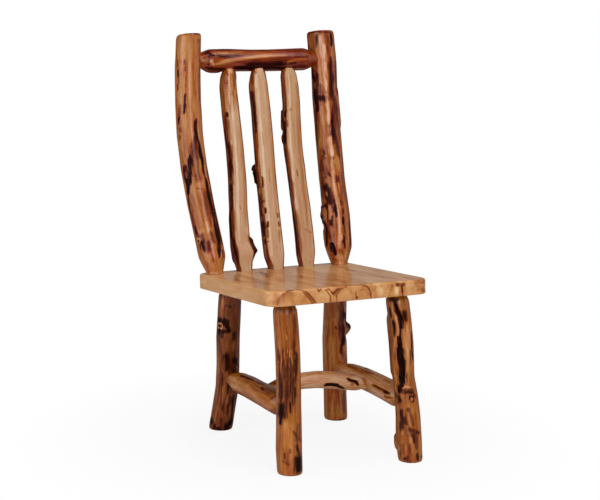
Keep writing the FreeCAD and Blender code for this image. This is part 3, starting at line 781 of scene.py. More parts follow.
# %% One pole, from its solid and its marks
def build_pole(name, ways, seed, tone, strokes, digs=(), foot_cut=None, head_cut=None,
               level_rings=False, sawn=False, flat_tone=None, flat_end=None, shoulder=None):
    """Read the solid, paint and dig its skin, and put it in the node's place."""
    cuts = [(cut, low_end) for cut, low_end in ((foot_cut, True), (head_cut, False)) if cut]
    shape = PoleShape(name, ways, level_rings, sawn)
    shape.read(*clear_span(shape, cuts))
    skin = Skin(shape, seed, flat_end)
    paint_wood(skin, tone, flat_tone)
    for stroke_tone, half_width, places, *soft in strokes:
        mask = laid_stroke(skin, half_width, places, STROKE_RAGGED, soft[0] * MM if soft else None)
        skin.paint(mask, stroke_tone + RAGGED_TONE * skin.ragged)
    paint_outline_shade_and_hidden_marks(skin)
    dig(skin, digs)
    mesh = skin_mesh(skin, skin_rings(skin, cuts, shoulder), name + "_skin")
    print("%-22s %6d faces, radius %.1f mm" % (name, len(mesh.polygons), skin.girth / MM))
    return place_piece(name, "_skin", mesh)


# %% [markdown]
# Peeled aspen under clear lacquer. Fresh aspen is nearly white; the lacquer warms it to honey, and
# what the drawknife leaves of the inner bark goes red-brown to black. To the eye that is one scale
# from black over maroon, red-brown and honey to pale, so one colour ramp holds it, and the tone on
# the skin picks the place on it. Noise drawn out along the pole gives the streaks and the grain.

# %% Lacquered aspen, peeled, dark and sawn
PEELED_STOPS = ((0.0, "#150300"), (0.13, "#390C00"), (0.28, "#612408"), (0.43, "#88461E"),
                (0.58, "#A16839"), (0.72, "#B38057"), (0.86, "#C39683"), (1.0, "#D2AC9C"))
LEG_STOPS = ((0.0, "#140400"), (0.13, "#341101"), (0.28, "#592808"), (0.43, "#82461B"),
             (0.58, "#A06431"), (0.72, "#B27A49"), (0.86, "#C49672"), (1.0, "#D4AE92"))
SAWN_STOPS = ((0.0, "#1C0A05"), (0.2, "#5C2C14"), (0.4, "#986842"), (0.56, "#AF8968"),
              (0.7, "#BD9C81"), (1.0, "#D2BAA0"))
END_STOPS = ((0.0, "#8E5228"), (0.4, "#BE8650"), (1.0, "#D3A571"))
LACQUER_IOR = 1.5
# noises drawn out along a pole: width and length of one spot (mm), shift, detail, roughness, distortion
WOOD_NOISES = {"streak": (9, 90, 0, 5.0, 0.62, 0.6), "fibre": (2.2, 45, 0, 4.0, 0.6, 0.0),
               "fleck": (5, 16, 7, 6.0, 0.68, 0.9), "hue": (16, 60, 3, 2.0, 0.5, 0.0)}


def new_material(name):
    """An empty material: itself and its node tree."""
    material = bpy.data.materials.new(name)
    material.use_nodes = True
    material.node_tree.nodes.clear()
    return material, material.node_tree


print("one spot of each noise is, in mm:", {what: noise[:2] for what, noise in WOOD_NOISES.items()})


# %% A wood under lacquer
def lacquered_wood(name, stops, shift, streak, grain, gloss, bump_height, hues, flat_stops=None):
    """A wood under clear lacquer whose tone attribute picks its colour, plus drawn-out noise."""
    material, tree = new_material(name)
    straight = add(tree, "ShaderNodeAttribute", attribute_name="straight").outputs["Vector"]
    tone = add(tree, "ShaderNodeAttribute", attribute_name="tone").outputs["Fac"]
    noise = {}
    for what, (wide, long, offset, detail, roughness, distortion) in WOOD_NOISES.items():
        drawn_out = add(tree, "ShaderNodeMapping", {"Vector": straight},
                        {"Scale": (1 / (wide * MM), 1 / (wide * MM), 1 / (long * MM)),
                         "Location": (shift + offset,) * 3})
        noise[what] = add(tree, "ShaderNodeTexNoise", {"Vector": drawn_out.outputs[0]},
                          {"Scale": 1.0, "Detail": detail, "Roughness": roughness,
                           "Distortion": distortion}).outputs["Fac"]
    sway, hair = (add(tree, "ShaderNodeMapRange", {"Value": noise[what]},
                      {"To Min": -strength, "To Max": strength}).outputs[0]
                  for what, strength in (("streak", streak), ("fibre", grain)))
    height = add(tree, "ShaderNodeMath", {0: sway, 1: hair}, operation="ADD").outputs[0]
    # dark flecks of inner bark, only where the noise runs high
    flecks = add(tree, "ShaderNodeMapRange", {"Value": noise["fleck"]},
                 {"From Min": 0.60, "From Max": 0.70, "To Min": 0.0, "To Max": streak * 0.9})
    figure = add(tree, "ShaderNodeMath", {0: height, 1: flecks.outputs[0]}, operation="SUBTRACT")
    if flat_stops:
        # the saw opens clean, even wood: less figure there
        flat = add(tree, "ShaderNodeAttribute", attribute_name="flat").outputs["Fac"]
        calm = add(tree, "ShaderNodeMapRange", {"Value": flat}, {"To Min": 1.0, "To Max": 0.5})
        figure = add(tree, "ShaderNodeMath", {0: figure.outputs[0], 1: calm.outputs[0]},
                     operation="MULTIPLY")
    total = add(tree, "ShaderNodeMath", {0: tone, 1: figure.outputs[0]}, operation="ADD").outputs[0]
    colour = ramp_stops(add(tree, "ShaderNodeValToRGB", {"Fac": total}), stops).outputs[0]
    if flat_stops:
        opened = ramp_stops(add(tree, "ShaderNodeValToRGB", {"Fac": total}), flat_stops)
        colour = add(tree, "ShaderNodeMix", {0: flat, 6: colour, 7: opened.outputs[0]},
                     data_type="RGBA").outputs[2]
    # the wood wanders between golden and rosy
    hue = add(tree, "ShaderNodeMapRange", {"Value": noise["hue"]},
              {"From Min": 0.3, "From Max": 0.7, "To Min": hues[0], "To Max": hues[1]})
    colour = add(tree, "ShaderNodeHueSaturation", {"Color": colour, "Hue": hue.outputs[0]},
                 {"Saturation": 1.07})
    # remnants of bark drink the lacquer and stay duller than the clean wood
    coat = add(tree, "ShaderNodeMapRange", {"Value": total},
               {"From Min": 0.08, "From Max": 0.42, "To Min": 0.03, "To Max": 0.72})
    bump = add(tree, "ShaderNodeBump", {"Height": height}, {"Strength": 0.5, "Distance": bump_height})
    shader = add(tree, "ShaderNodeBsdfPrincipled",
                 {"Base Color": colour.outputs["Color"], "Normal": bump.outputs[0],
                  "Coat Weight": coat.outputs[0]},
                 {"Roughness": 0.6, "IOR": LACQUER_IOR, "Specular IOR Level": 0.05,
                  "Coat Roughness": gloss, "Coat IOR": LACQUER_IOR})
    add(tree, "ShaderNodeOutputMaterial", {"Surface": shader.outputs[0]})
    return material


# %% Sawn ends
def end_grain(name):
    """Sawn pole end: growth rings about 3 mm apart round the pith, under the same lacquer."""
    material, tree = new_material(name)
    straight = add(tree, "ShaderNodeAttribute", attribute_name="straight").outputs["Vector"]
    rings = add(tree, "ShaderNodeTexWave", {"Vector": straight},
                {"Scale": 100.0, "Distortion": 1.6, "Detail": 2.0, "Detail Scale": 1.2},
                wave_type="RINGS", rings_direction="Z")
    colour = ramp_stops(add(tree, "ShaderNodeValToRGB", {"Fac": rings.outputs["Fac"]}), END_STOPS)
    shader = add(tree, "ShaderNodeBsdfPrincipled", {"Base Color": colour.outputs[0]},
                 {"Roughness": 0.5, "IOR": LACQUER_IOR, "Coat Weight": 0.5,
                  "Coat Roughness": 0.2, "Coat IOR": LACQUER_IOR})
    add(tree, "ShaderNodeOutputMaterial", {"Surface": shader.outputs[0]})
    return material


# %% The chair's woods
# rosy and golden satin poles, browner legs and stretchers, the darkest rail, and the pale sawn flats
peeled_aspen = lacquered_wood("lacquered_peeled_aspen", PEELED_STOPS, shift=0.0, streak=0.34, grain=0.15,
                              gloss=0.27, bump_height=0.6 * MM, hues=(0.488, 0.506))
leg_aspen = lacquered_wood("lacquered_leg_aspen", LEG_STOPS, shift=9.0, streak=0.30, grain=0.18,
                           gloss=0.27, bump_height=0.6 * MM, hues=(0.488, 0.506))
dark_aspen = lacquered_wood("lacquered_dark_aspen", PEELED_STOPS, shift=3.0, streak=0.30, grain=0.13,
                            gloss=0.24, bump_height=0.6 * MM, hues=(0.484, 0.500))
sawn_aspen = lacquered_wood("lacquered_sawn_aspen", PEELED_STOPS, shift=5.0, streak=0.32, grain=0.14,
                            gloss=0.27, bump_height=0.3 * MM, hues=(0.490, 0.505), flat_stops=SAWN_STOPS)
aspen_end = end_grain("lacquered_aspen_end_grain")
print("woods:", ", ".join(material.name for material in bpy.data.materials if "aspen" in material.name))

# %% [markdown]
# The two back posts carry the boldest figure: long black V shapes, bark left in the hollows, and
# shaved conical feet that stand on the seat. Places are in the photograph's pixels.

# %% Marks of the back posts
seat_top_plane = (np.array(seat_middle), np.array(seat_up))
seat_under_plane = (np.array(seat_middle - seat_up * seat_thickness), np.array(seat_up))
UPRIGHT = ((1.0, 0, 0), (0, 1.0, 0))
POST_LEFT_STROKES = (
    # the 0.66 band at x 181.5 is partly the wood's golden tone and partly a painted highlight of the left
    # lamp
    (0.16, 0.8, ((179, 34), (190, 33.4), (200, 34.4))), (0.66, 3.2, ((181.5, 36), (181.5, 70)), 9),
    (0.52, 3, ((195.5, 38), (195.5, 96))), (0.4, 1.4, ((199.6, 40), (199.4, 100))),
    # the 0.36 and 0.1 strokes on this line darken the post's two outlines: partly the wood's own dark
    # colour, partly painted shade
    (0.36, 1, ((176.8, 36), (177, 60))), (0.1, 0.9, ((201.4, 40), (201.2, 118))),
    (0.2, 0.9, ((198.4, 39.4), (198.6, 41.6)), 2.5), (0.22, 1, ((184.6, 60), (184.6, 65)), 3),
    (0.26, 1, ((184.8, 67), (184.8, 70.6)), 3), (0.22, 1.3, ((177.2, 60.5), (177.4, 67)), 3),
    (0.04, 1.5, ((178, 70), (178.4, 77)), 3), (0.42, 1.5, ((178.6, 79), (178.8, 83)), 3),
    (0.2, 1, ((178, 85), (178, 90)), 3), (0.44, 0.9, ((186, 76), (185.4, 92))),
    (0.03, 1.2, ((185.6, 94), (184.6, 104)), 2.5), (0.05, 1.7, ((184.8, 104), (184, 113)), 3),
    (0.32, 2, ((180.6, 106), (179, 118))), (0.06, 1.3, ((179.4, 118), (178.6, 123)), 3),
    (0.34, 1.6, ((180.4, 129), (180.6, 131)), 4), (0.32, 1.6, ((180, 136.6), (180.2, 139.4)), 4),
    (0.52, 2.6, ((183.5, 142), (185, 164))),
    (0.2, 3.2, ((207, 168), (210.6, 188), (214.6, 210), (218, 228), (221.4, 244)), 7),
    (0.24, 4.4, ((195.4, 140), (194, 152), (195.8, 164)), 8), (0.32, 3.8, ((196.6, 164), (198.4, 178)), 9),
    (0.24, 2, ((196.6, 133), (194.6, 142)), 4.5), (0.34, 1.8, ((192, 145), (189.2, 152)), 4.5),
    (0.02, 2.6, ((190, 156), (189.6, 168), (190.2, 184)), 4.5), (0.12, 3.4, ((185.4, 168), (186, 178)), 5),
    (0.42, 1.1, ((186, 173), (186.6, 178)), 3), (0.02, 2.4, ((185.6, 180), (188, 186), (188.4, 194)), 4),
    (0.18, 1.9, ((188.4, 196), (190.6, 212)), 5), (0.44, 2.6, ((192.6, 196), (194.6, 214)), 6),
    (0.22, 2, ((191.4, 212), (194, 226)), 5), (0.44, 2.4, ((196.4, 216), (199, 228)), 6),
    (0.12, 2.2, ((194.6, 227), (196.4, 233)), 4),
    (0.04, 1.9, ((196.6, 119), (195.6, 126), (195.8, 133)), 4),
    (0.02, 1.9, ((196.2, 130), (198, 140), (199.8, 150), (201.8, 160), (203, 170), (204.8, 178)), 4),
    (0.34, 2.2, ((204, 190), (208, 212), (211, 226)), 7),
    (0.01, 2.8, ((205, 178), (207.8, 190), (210, 200), (212.4, 210), (214, 220)), 6),
    (0.02, 2.5, ((214, 220), (216.4, 230), (218.2, 240), (219.2, 250), (219.4, 257)), 5),
    (0.5, 3.8, ((197.4, 192), (200.4, 212), (203, 226)), 9), (0.3, 0.7, ((196, 188.4), (202, 188.8)), 2.5),
    # painted highlight: the 0.72 stroke that opens the next line
    (0.72, 1.7, ((205.6, 221), (208, 233)), 6), (0.3, 2.4, ((211.4, 234), (214, 242)), 6),
    (0.24, 3, ((201.4, 236), (204, 241)), 6), (0.05, 2.9, ((202.4, 242), (204.2, 249)), 6),
    (0.24, 3.4, ((207.4, 243), (208.6, 250)), 7),
    (0.28, 0.8, ((196.2, 237.4), (198.6, 235.2), (201.6, 237.4)), 2.2), (0.78, 2.5, ((198.7, 240.2),), 2.6),
    (0.08, 1.1, ((198.9, 241),), 2), (0.1, 1, ((222, 250), (223, 258)), 3),
    (0.66, 4.4, ((209, 259), (213, 265)), 9), (0.4, 0.9, ((211, 252), (213.6, 262))),
    (0.7, 5, ((213, 270), (214.5, 274))),
)
POST_RIGHT_UPPER = (
    (0.18, 0.9, ((309, 32.4), (320, 31.8), (331, 32.8))), (0.5, 2.6, ((310.4, 36), (311, 46))),
    (0.42, 2, ((314, 37), (314, 48))), (0.08, 1.4, ((316.8, 35), (317, 45)), 3),
    (0.2, 1.6, ((310, 46), (311.4, 54)), 3), (0.22, 0.9, ((316.8, 42), (315.6, 52)), 3),
    (0.3, 2.3, ((328.2, 36), (329.4, 50))), (0.04, 1.9, ((330.6, 34), (331, 45)), 3.5),
    (0.24, 1.2, ((327, 46), (330, 60))), (0.54, 2.8, ((316.4, 50), (318, 60))),
    # painted highlight: the strokes of tone 0.8 to 0.84 here and below, and the 0.66 one at x 332, lie
    # where the front lamp's highlight runs down the post
    (0.6, 2.8, ((319, 60), (320.6, 76), (322, 92))), (0.8, 1.9, ((320.6, 36.5), (321.6, 46)), 5),
    (0.82, 2.7, ((323, 47), (323.6, 58)), 6), (0.8, 2.1, ((323.2, 58), (324.4, 74), (325.8, 90)), 5),
    (0.1, 3, ((330.2, 58), (331, 75), (332, 100))), (0.24, 2, ((335, 62), (336.6, 95))),
    (0.04, 2.9, ((313.4, 64), (314.8, 80), (315.6, 92)), 6), (0.36, 1.3, ((315, 83), (315.4, 92)), 4),
    (0.1, 1.8, ((317, 72), (318.8, 92)), 4), (0.3, 2.4, ((319.8, 86), (321.8, 95)), 6),
    (0.05, 3.4, ((315.6, 92), (316.4, 103)), 5), (0.02, 3, ((316.4, 98), (323, 98)), 5),
    (0.03, 2.7, ((317.4, 102), (317.8, 109)), 4), (0.62, 1.3, ((325.6, 93.6), (326, 95)), 3),
    (0.8, 2.1, ((327.6, 101), (328, 112), (328.6, 123)), 5),
    (0.55, 3.6, ((321.8, 108), (323, 126), (325, 146)), 8),
    (0.18, 4.4, ((334.4, 98), (336, 128), (337.6, 146)), 8), (0.36, 1.6, ((337.6, 120), (339, 146))),
    (0.07, 1.2, ((331.4, 118), (332.4, 134), (333.4, 144)), 4), (0.2, 2, ((315.6, 108), (317.4, 146))),
    (0.84, 2.7, ((329.6, 138), (331.4, 154)), 6), (0.26, 2.9, ((322.6, 150), (324.4, 166), (326, 177)), 7),
    (0.4, 2.2, ((324.6, 160), (325.6, 174))), (0.66, 1.8, ((332, 158), (332.8, 176)), 5),
    (0.05, 0.8, ((333.2, 158), (333.8, 162)), 2.5), (0.24, 2.4, ((337, 147), (339, 156)), 6),
    (0.56, 2.2, ((337, 158), (338.4, 170)), 7), (0.22, 2.2, ((336.6, 177), (338.4, 190)), 5),
    # the 0.1 and 0.12 strokes on this line darken the right outline: partly the wood's own dark colour,
    # partly painted shade
    (0.1, 1.8, ((342.6, 152), (345, 184))), (0.12, 1.1, ((346, 184), (348, 204))),
)
POST_RIGHT_LOWER = (
    (0.3, 2.2, ((321.4, 160), (323, 196))), (0.06, 0.9, ((324.4, 151.6), (325, 154.4)), 2.2),
    (0.28, 0.8, ((321, 160), (321.8, 163)), 2.5), (0.05, 0.8, ((328.6, 173.6), (330.4, 176)), 2.2),
    (0.16, 1, ((326, 184), (328, 199))), (0.1, 4.7, ((325.4, 188), (331.6, 202)), 6),
    (0.46, 1, ((326, 192), (327, 195)), 2.5),
    # painted highlight: the long 0.74 stroke that follows carries the front lamp's highlight on down the
    # post
    (0.74, 1.9, ((332.6, 178), (334.8, 190), (337.4, 200), (338.8, 208), (338.6, 216), (340, 226),
      (339.8, 234), (339, 248)), 5), (0.1, 3.2, ((326, 206), (332.6, 209)), 5),
    (0.36, 1, ((328.4, 205), (328.8, 209)), 2.5), (0.05, 1.3, ((335.4, 205), (336.6, 217)), 3.5),
    (0.54, 2.4, ((324, 209), (324.6, 218)), 4), (0.05, 1, ((325.4, 205.4), (322.4, 208)), 2.5),
    (0.03, 1.3, ((321.6, 215), (323.4, 221), (326, 226)), 3), (0.6, 1.8, ((330, 206), (330.6, 222)), 4),
    (0.2, 0.9, ((327.8, 208), (328, 222)), 3), (0.05, 1.2, ((332.4, 216), (332.2, 226)), 3),
    (0.04, 1.2, ((342.8, 218), (343, 223.6)), 3),
    (0.04, 1.7, ((325, 221), (326.8, 229), (327.2, 246)), 3.5), (0.05, 1.7, ((330.8, 221), (332, 228)), 4),
    (0.38, 2.4, ((331.6, 228), (333, 240)), 5), (0.1, 1, ((343.8, 235), (344.6, 248)), 3),
    # the 0.14 stroke on this line darkens the right outline: partly the wood's own dark colour, partly
    # painted shade
    (0.14, 1.4, ((349, 222), (349.8, 248))), (0.72, 4.4, ((338.4, 256), (341, 261))),
    (0.62, 1.6, ((326.6, 249), (330.5, 260))), (0.6, 1.6, ((346.6, 252), (345, 259))),
    (0.4, 1, ((332.5, 264.4), (345, 264.4))), (0, 2.5, ((331.6, 244.6), (333.4, 249), (335.2, 253.8)), 3.5),
)
POST_RIGHT_STROKES = (
    scattered(62, 24, (324, 60), (328, 148), 11, (4, 14), (0.6, 1.8), (0.12, 0.2, 0.3, 0.6))
    + POST_RIGHT_UPPER
    + scattered(61, 30, (327, 150), (336, 240), 10, (1, 10), (0.5, 1.9), (0.1, 0.18, 0.28, 0.6, 0.68))
    + POST_RIGHT_LOWER)
POST_RIGHT_DIGS = (
    (5, 1.8, 4, ((331.8, 244.8), (333.4, 249), (335.2, 253.6))), (-5, 4, 14, ((308, 28), (309.5, 50))),
    (-3, 3, 12, ((337, 90), (340, 125))), (-3, 2.6, 7, ((321, 208), (322, 222))),
    (-2.5, 3, 9, ((324, 232), (326, 246))),
)
print("back posts: %d and %d strokes" % (len(POST_LEFT_STROKES), len(POST_RIGHT_STROKES)))

# %% Back posts
post_left = build_pole("back_post_left", UPRIGHT, 11, 0.57, POST_LEFT_STROKES, foot_cut=seat_top_plane)
post_right = build_pole("back_post_right", UPRIGHT, 12, 0.44, POST_RIGHT_STROKES, POST_RIGHT_DIGS,
                        foot_cut=seat_top_plane)

# %% [markdown]
# The legs stand under the seat's plane. The front right one carries a long healed split: the bark
# died there, the wood closed round it with rolled, golden lips, and the hollow stayed black. The
# split is dug into the skin, because a painted one would look flat from the side.

# %% Marks of the front legs
LEG_FL_STROKES = (
    # painted shade: the 0.36 band across the top of the leg, under the seat
    (0.36, 2.6, ((277, 309.6), (294, 309.4))), (0.5, 1.8, ((275.6, 316), (276.6, 340))),
    (0.28, 2, ((294, 314), (294.4, 332), (294.2, 350))),
    (0.48, 1.4, ((299, 316), (300.6, 345), (302, 370))), (0.34, 1, ((276.4, 336), (277.4, 364)), 3),
    (0.38, 8, ((287, 354), (288.6, 380), (287.4, 398))), (0.04, 1.8, ((281, 374), (281, 401))),
    (0.14, 0.8, ((284, 360), (284, 380))), (0.12, 0.8, ((286.8, 364), (286.8, 400))),
    (0.12, 0.9, ((290.4, 372), (290.6, 394))), (0.18, 1.1, ((293.8, 340), (294, 382))),
    (0.78, 0.4, ((284.6, 352), (284.8, 358))), (0.78, 0.4, ((289.6, 350), (289.8, 357))),
    (0.74, 0.4, ((286.4, 334), (286.6, 340))), (0.2, 1.3, ((292.6, 366), (291.8, 386)), 4),
    (0.72, 0.4, ((292, 384), (292.2, 392))), (0.1, 1, ((290.2, 402), (290.6, 413))),
    (0.62, 4.5, ((288, 426), (288, 446))), (0, 4.3, ((281.4, 406.5), (281, 414))),
    (0.04, 1.7, ((281, 417), (280.4, 423))), (0.46, 1.6, ((301.6, 400), (302, 425))),
    (0.34, 3, ((298.6, 426), (297.4, 440)), 6), (0.28, 1.2, ((292.8, 431), (297, 437), (301, 441))),
    (0.12, 1.9, ((296.8, 446), (299, 454))), (0.22, 0.8, ((284.4, 453), (284.6, 459))),
    (0.24, 0.8, ((290.3, 449.6), (290.2, 453))), (0.36, 1.1, ((283, 461), (290, 465))),
    (0, 3.9, ((298.2, 459), (298.8, 469))),
)
# the front left leg's dark patch is made of torn fibres, a few of them pale
fibre_count, pale_share = 60, 0.28
fibre_rng = np.random.default_rng(5)
for _ in range(fibre_count):
    px, py = fibre_rng.uniform(278.5, 298), fibre_rng.uniform(346, 396)
    long = fibre_rng.uniform(7, 26)
    if fibre_rng.random() < pale_share:
        fibre_tone, half_width, long = 0.66, 0.3, 5
    else:
        fibre_tone, half_width = fibre_rng.uniform(0.10, 0.32), fibre_rng.uniform(0.4, 0.8)
    LEG_FL_STROKES += ((fibre_tone, half_width, ((px, py), (px + 0.2, py + long))),)
LEG_FR_STROKES = (
    (0.42, 2.6, ((388.6, 308), (390.6, 335), (393, 365))), (0.06, 1, ((385.8, 302), (386, 313))),
    # painted shadow: the 0.18 stroke across the top of the leg, under the seat
    (0.18, 2, ((390, 299.5), (400, 299.5))), (0.64, 2.6, ((401.4, 301), (402.8, 309))),
    (0.12, 2.6, ((404.4, 313), (404.8, 319))), (0.74, 2.8, ((406.4, 324), (406.8, 345), (407.4, 352))),
    (0.62, 2.6, ((407.6, 355), (408.8, 366), (408.6, 378))), (0.62, 2, ((407.6, 380), (407, 387))),
    (0.1, 1.3, ((390, 308), (391.6, 317)), 3), (0.01, 1.5, ((393.2, 320), (394.4, 328), (394.8, 336)), 3),
    (0, 2, ((394.8, 301.6), (396.6, 308), (398, 313), (400.4, 318)), 3),
    (0, 2.4, ((400, 317), (401, 327)), 3.5), (0.02, 1.3, ((400.6, 327), (400, 336)), 3),
    (0.76, 0.9, ((392.4, 303), (392.6, 311), (395.8, 317), (397.6, 325), (398.4, 333), (396.6, 340)), 2.2),
    (0, 2.3, ((399, 338), (399.4, 347)), 3.5), (0, 3.9, ((399.8, 350), (400, 358), (400.8, 367)), 3),
    (0, 3.6, ((401, 370), (401.8, 381)), 3.5), (0.01, 2.6, ((401.6, 384), (400.2, 391)), 3.5),
    (0.17, 1.2, ((403, 349), (402.6, 362)), 4),
    (0.66, 0.9, ((396.4, 340), (393.8, 346), (393.2, 358), (394.2, 368), (395.4, 376), (397.4, 384)), 2.2),
    (0.01, 1.9, ((397.8, 352), (398.4, 362)), 2.6),
    (0.01, 2.1, ((403, 357), (403.8, 368), (403.8, 379)), 2.6),
    (0.22, 1.6, ((390.6, 340), (391.4, 362), (393.6, 384)), 4), (0.25, 0.7, ((409.6, 350), (410, 366))),
    (0.25, 0.6, ((406.4, 372), (407, 386))), (0.04, 1.4, ((411, 332), (411.6, 350), (412.8, 360))),
    (0.1, 2.4, ((396.6, 395), (399.4, 400)), 4), (0.28, 2.4, ((404.6, 391), (412, 391)), 5),
    (0.8, 0.9, ((402.6, 388.4), (406, 386.2), (410.4, 387.4)), 2.4),
    (0.14, 0.9, ((404, 393.6), (408, 391.8), (413, 393), (416, 397.6)), 2.6),
    (0.14, 0.8, ((409, 399.6), (410, 396.2), (413.4, 396.4), (414, 400.4), (411.4, 402.6)), 2.2),
    (0.7, 1, ((411.8, 399),), 2.2), (0.26, 1.7, ((397.6, 396), (398, 404))),
    (0.6, 3.2, ((410, 406), (412, 424))), (0.12, 3, ((402.6, 412), (404, 422), (405.4, 430)), 6),
    (0.12, 2.2, ((408, 429), (413, 431), (418.6, 433)), 5), (0.12, 1.9, ((412.4, 434), (414.6, 442)), 4),
    (0.2, 1.4, ((415.6, 434), (416.6, 449)), 5), (0.28, 1.4, ((411, 414), (413, 426)), 4),
    (0.2, 1, ((416.6, 438), (417, 443))), (0.34, 0.9, ((409.6, 440), (410.4, 456))),
    (0.36, 0.9, ((403, 444), (404, 455))), (0.1, 1.3, ((404.9, 458.8),)),
    (0.08, 1.3, ((416.9, 455), (417.4, 459))), (0.03, 1.2, ((421, 456.4),)),
    # this stroke darkens the leg's left outline: partly the wood's own dark colour, partly painted shade
    (0.14, 0.8, ((396, 405), (396, 436))),
)
LEG_FR_STROKES += scattered(63, 22, (406, 402), (409, 458), 10, (2, 10), (0.5, 1.5),
                            (0.18, 0.3, 0.38, 0.66))
LEG_FR_DIGS = (
    (8, 2, 5, ((395.4, 305), (397, 311), (400, 318), (400.8, 329))),
    (10, 3, 6, ((399.4, 345), (399.6, 357), (400.8, 370), (401.6, 381))),
    (-4, 4, 12, ((387, 318), (388.5, 340), (390, 372))), (-4.5, 2.6, 7, ((395, 437), (395.4, 446))),
    (-2.5, 1.6, 5, ((408, 326), (409.6, 352), (408.6, 382))),
    (-2, 1, 4, ((393, 312), (396.8, 324), (394.4, 342), (393.4, 360), (396.6, 382))),
)
print("front legs: %d and %d strokes" % (len(LEG_FL_STROKES), len(LEG_FR_STROKES)))

# %% Marks of the back legs
LEG_BL_STROKES = (
    (0.62, 1.9, ((223, 299), (222, 308))), (0.5, 1.7, ((221, 307), (221.4, 314))),
    (0.18, 0.9, ((225, 306), (228, 305.6), (231, 307.6))), (0.12, 2.4, ((219, 332.4), (222, 335.6)), 5),
    (0.33, 3, ((231, 338), (230.6, 352))), (0.14, 2.3, ((234.4, 334), (233.4, 342))),
    (0.02, 4.6, ((219.6, 322.6), (224, 322)), 4.5),
    (0.04, 2.2, ((218.4, 329.6), (224, 331.6), (230, 331)), 4),
    (0.03, 2.2, ((224, 321), (229.6, 330.6)), 3.5), (0.82, 3.2, ((220.4, 325.8),), 2.4),
    (0.1, 1.9, ((220.4, 325.8),), 2.2), (0.05, 3.3, ((226.4, 356), (226.8, 368))),
    (0.05, 3.4, ((234.8, 361), (235, 370))), (0.4, 1.8, ((218.6, 345), (218.6, 370), (217.6, 395))),
    (0.12, 1, ((222.4, 374), (220.6, 406))), (0.13, 1.1, ((228.6, 392), (227, 415))),
    (0.08, 1.4, ((233.6, 396), (231, 420))), (0.48, 1.2, ((231.2, 393), (229.6, 417))),
    (0.44, 2.6, ((222.6, 411), (221.8, 421))), (0.02, 2.7, ((211.4, 420), (214, 426))),
    (0.02, 3, ((226, 427), (231.4, 421))), (0.03, 1.7, ((214, 427.4), (226, 429))),
)
LEG_BL_STROKES += scattered(64, 26, (227, 338), (221, 424), 9, (6, 20), (0.5, 1.4),
                            (0.14, 0.2, 0.28, 0.46))
LEG_BL_DIGS = (
    (-3, 2.4, 6, ((219.4, 326),)), (2.5, 0.9, 3, ((219.3, 325.9),)),
)
LEG_BR_STROKES = (
    (0.56, 2.6, ((326, 304), (326, 368), (326.6, 416)), 5),
    (0.26, 3.2, ((341, 300), (341.4, 318), (340.4, 340)), 7), (0.38, 2.4, ((340, 346), (341, 366)), 6),
    (0.56, 5, ((332, 340), (333, 366))), (0.52, 4, ((333, 395), (334, 416))),
    (0.1, 2.2, ((342.4, 312), (342.4, 322))), (0.05, 2.4, ((343, 337), (342, 344))),
    (0.14, 1.7, ((341.4, 345), (340.6, 352))), (0.01, 2.8, ((344.4, 314), (345.8, 322), (347.6, 326))),
    (0.02, 2.8, ((342.6, 326), (343.2, 333))), (0.48, 2.2, ((346.8, 331.4), (347.6, 329.8))),
    (0.1, 1.1, ((350, 326), (350.2, 331))), (0.14, 1, ((335.6, 326.6), (336, 328.2))),
    (0.12, 1.1, ((339.6, 327), (340, 330))), (0.28, 1.1, ((345.6, 338), (346.4, 358))),
    (0.28, 2.6, ((343.6, 392), (344, 412))), (0.18, 1, ((326, 419), (335, 421), (345, 418.6))),
)
LEG_BR_DIGS = (
    (-4.5, 3.5, 11, ((344.5, 338), (345.5, 366))), (-5, 2.6, 7, ((347.4, 325), (347.6, 332))),
)
print("back legs: %d and %d strokes" % (len(LEG_BL_STROKES), len(LEG_BR_STROKES)))

# %% Legs
LEG_SHOULDER = (0.24, 20 * MM)   # how far the turned shoulder draws in, and over what height
leg_facts = (("front_left", 21, 0.50, LEG_FL_STROKES, ()),
             ("front_right", 22, 0.53, LEG_FR_STROKES, LEG_FR_DIGS),
             ("back_left", 23, 0.36, LEG_BL_STROKES, LEG_BL_DIGS),
             ("back_right", 24, 0.50, LEG_BR_STROKES, LEG_BR_DIGS))
leg_fl, leg_fr, leg_bl, leg_br = [
    build_pole("leg_" + corner, UPRIGHT, seed, tone, strokes, digs, head_cut=seat_under_plane,
               level_rings=True, shoulder=LEG_SHOULDER)
    for corner, seed, tone, strokes, digs in leg_facts]

# %% [markdown]
# The top rail is the darkest pole of all, with one paler streak that winds round it. The stretchers
# are shaved to long tapers at the back, and the bowed one between them is the palest.

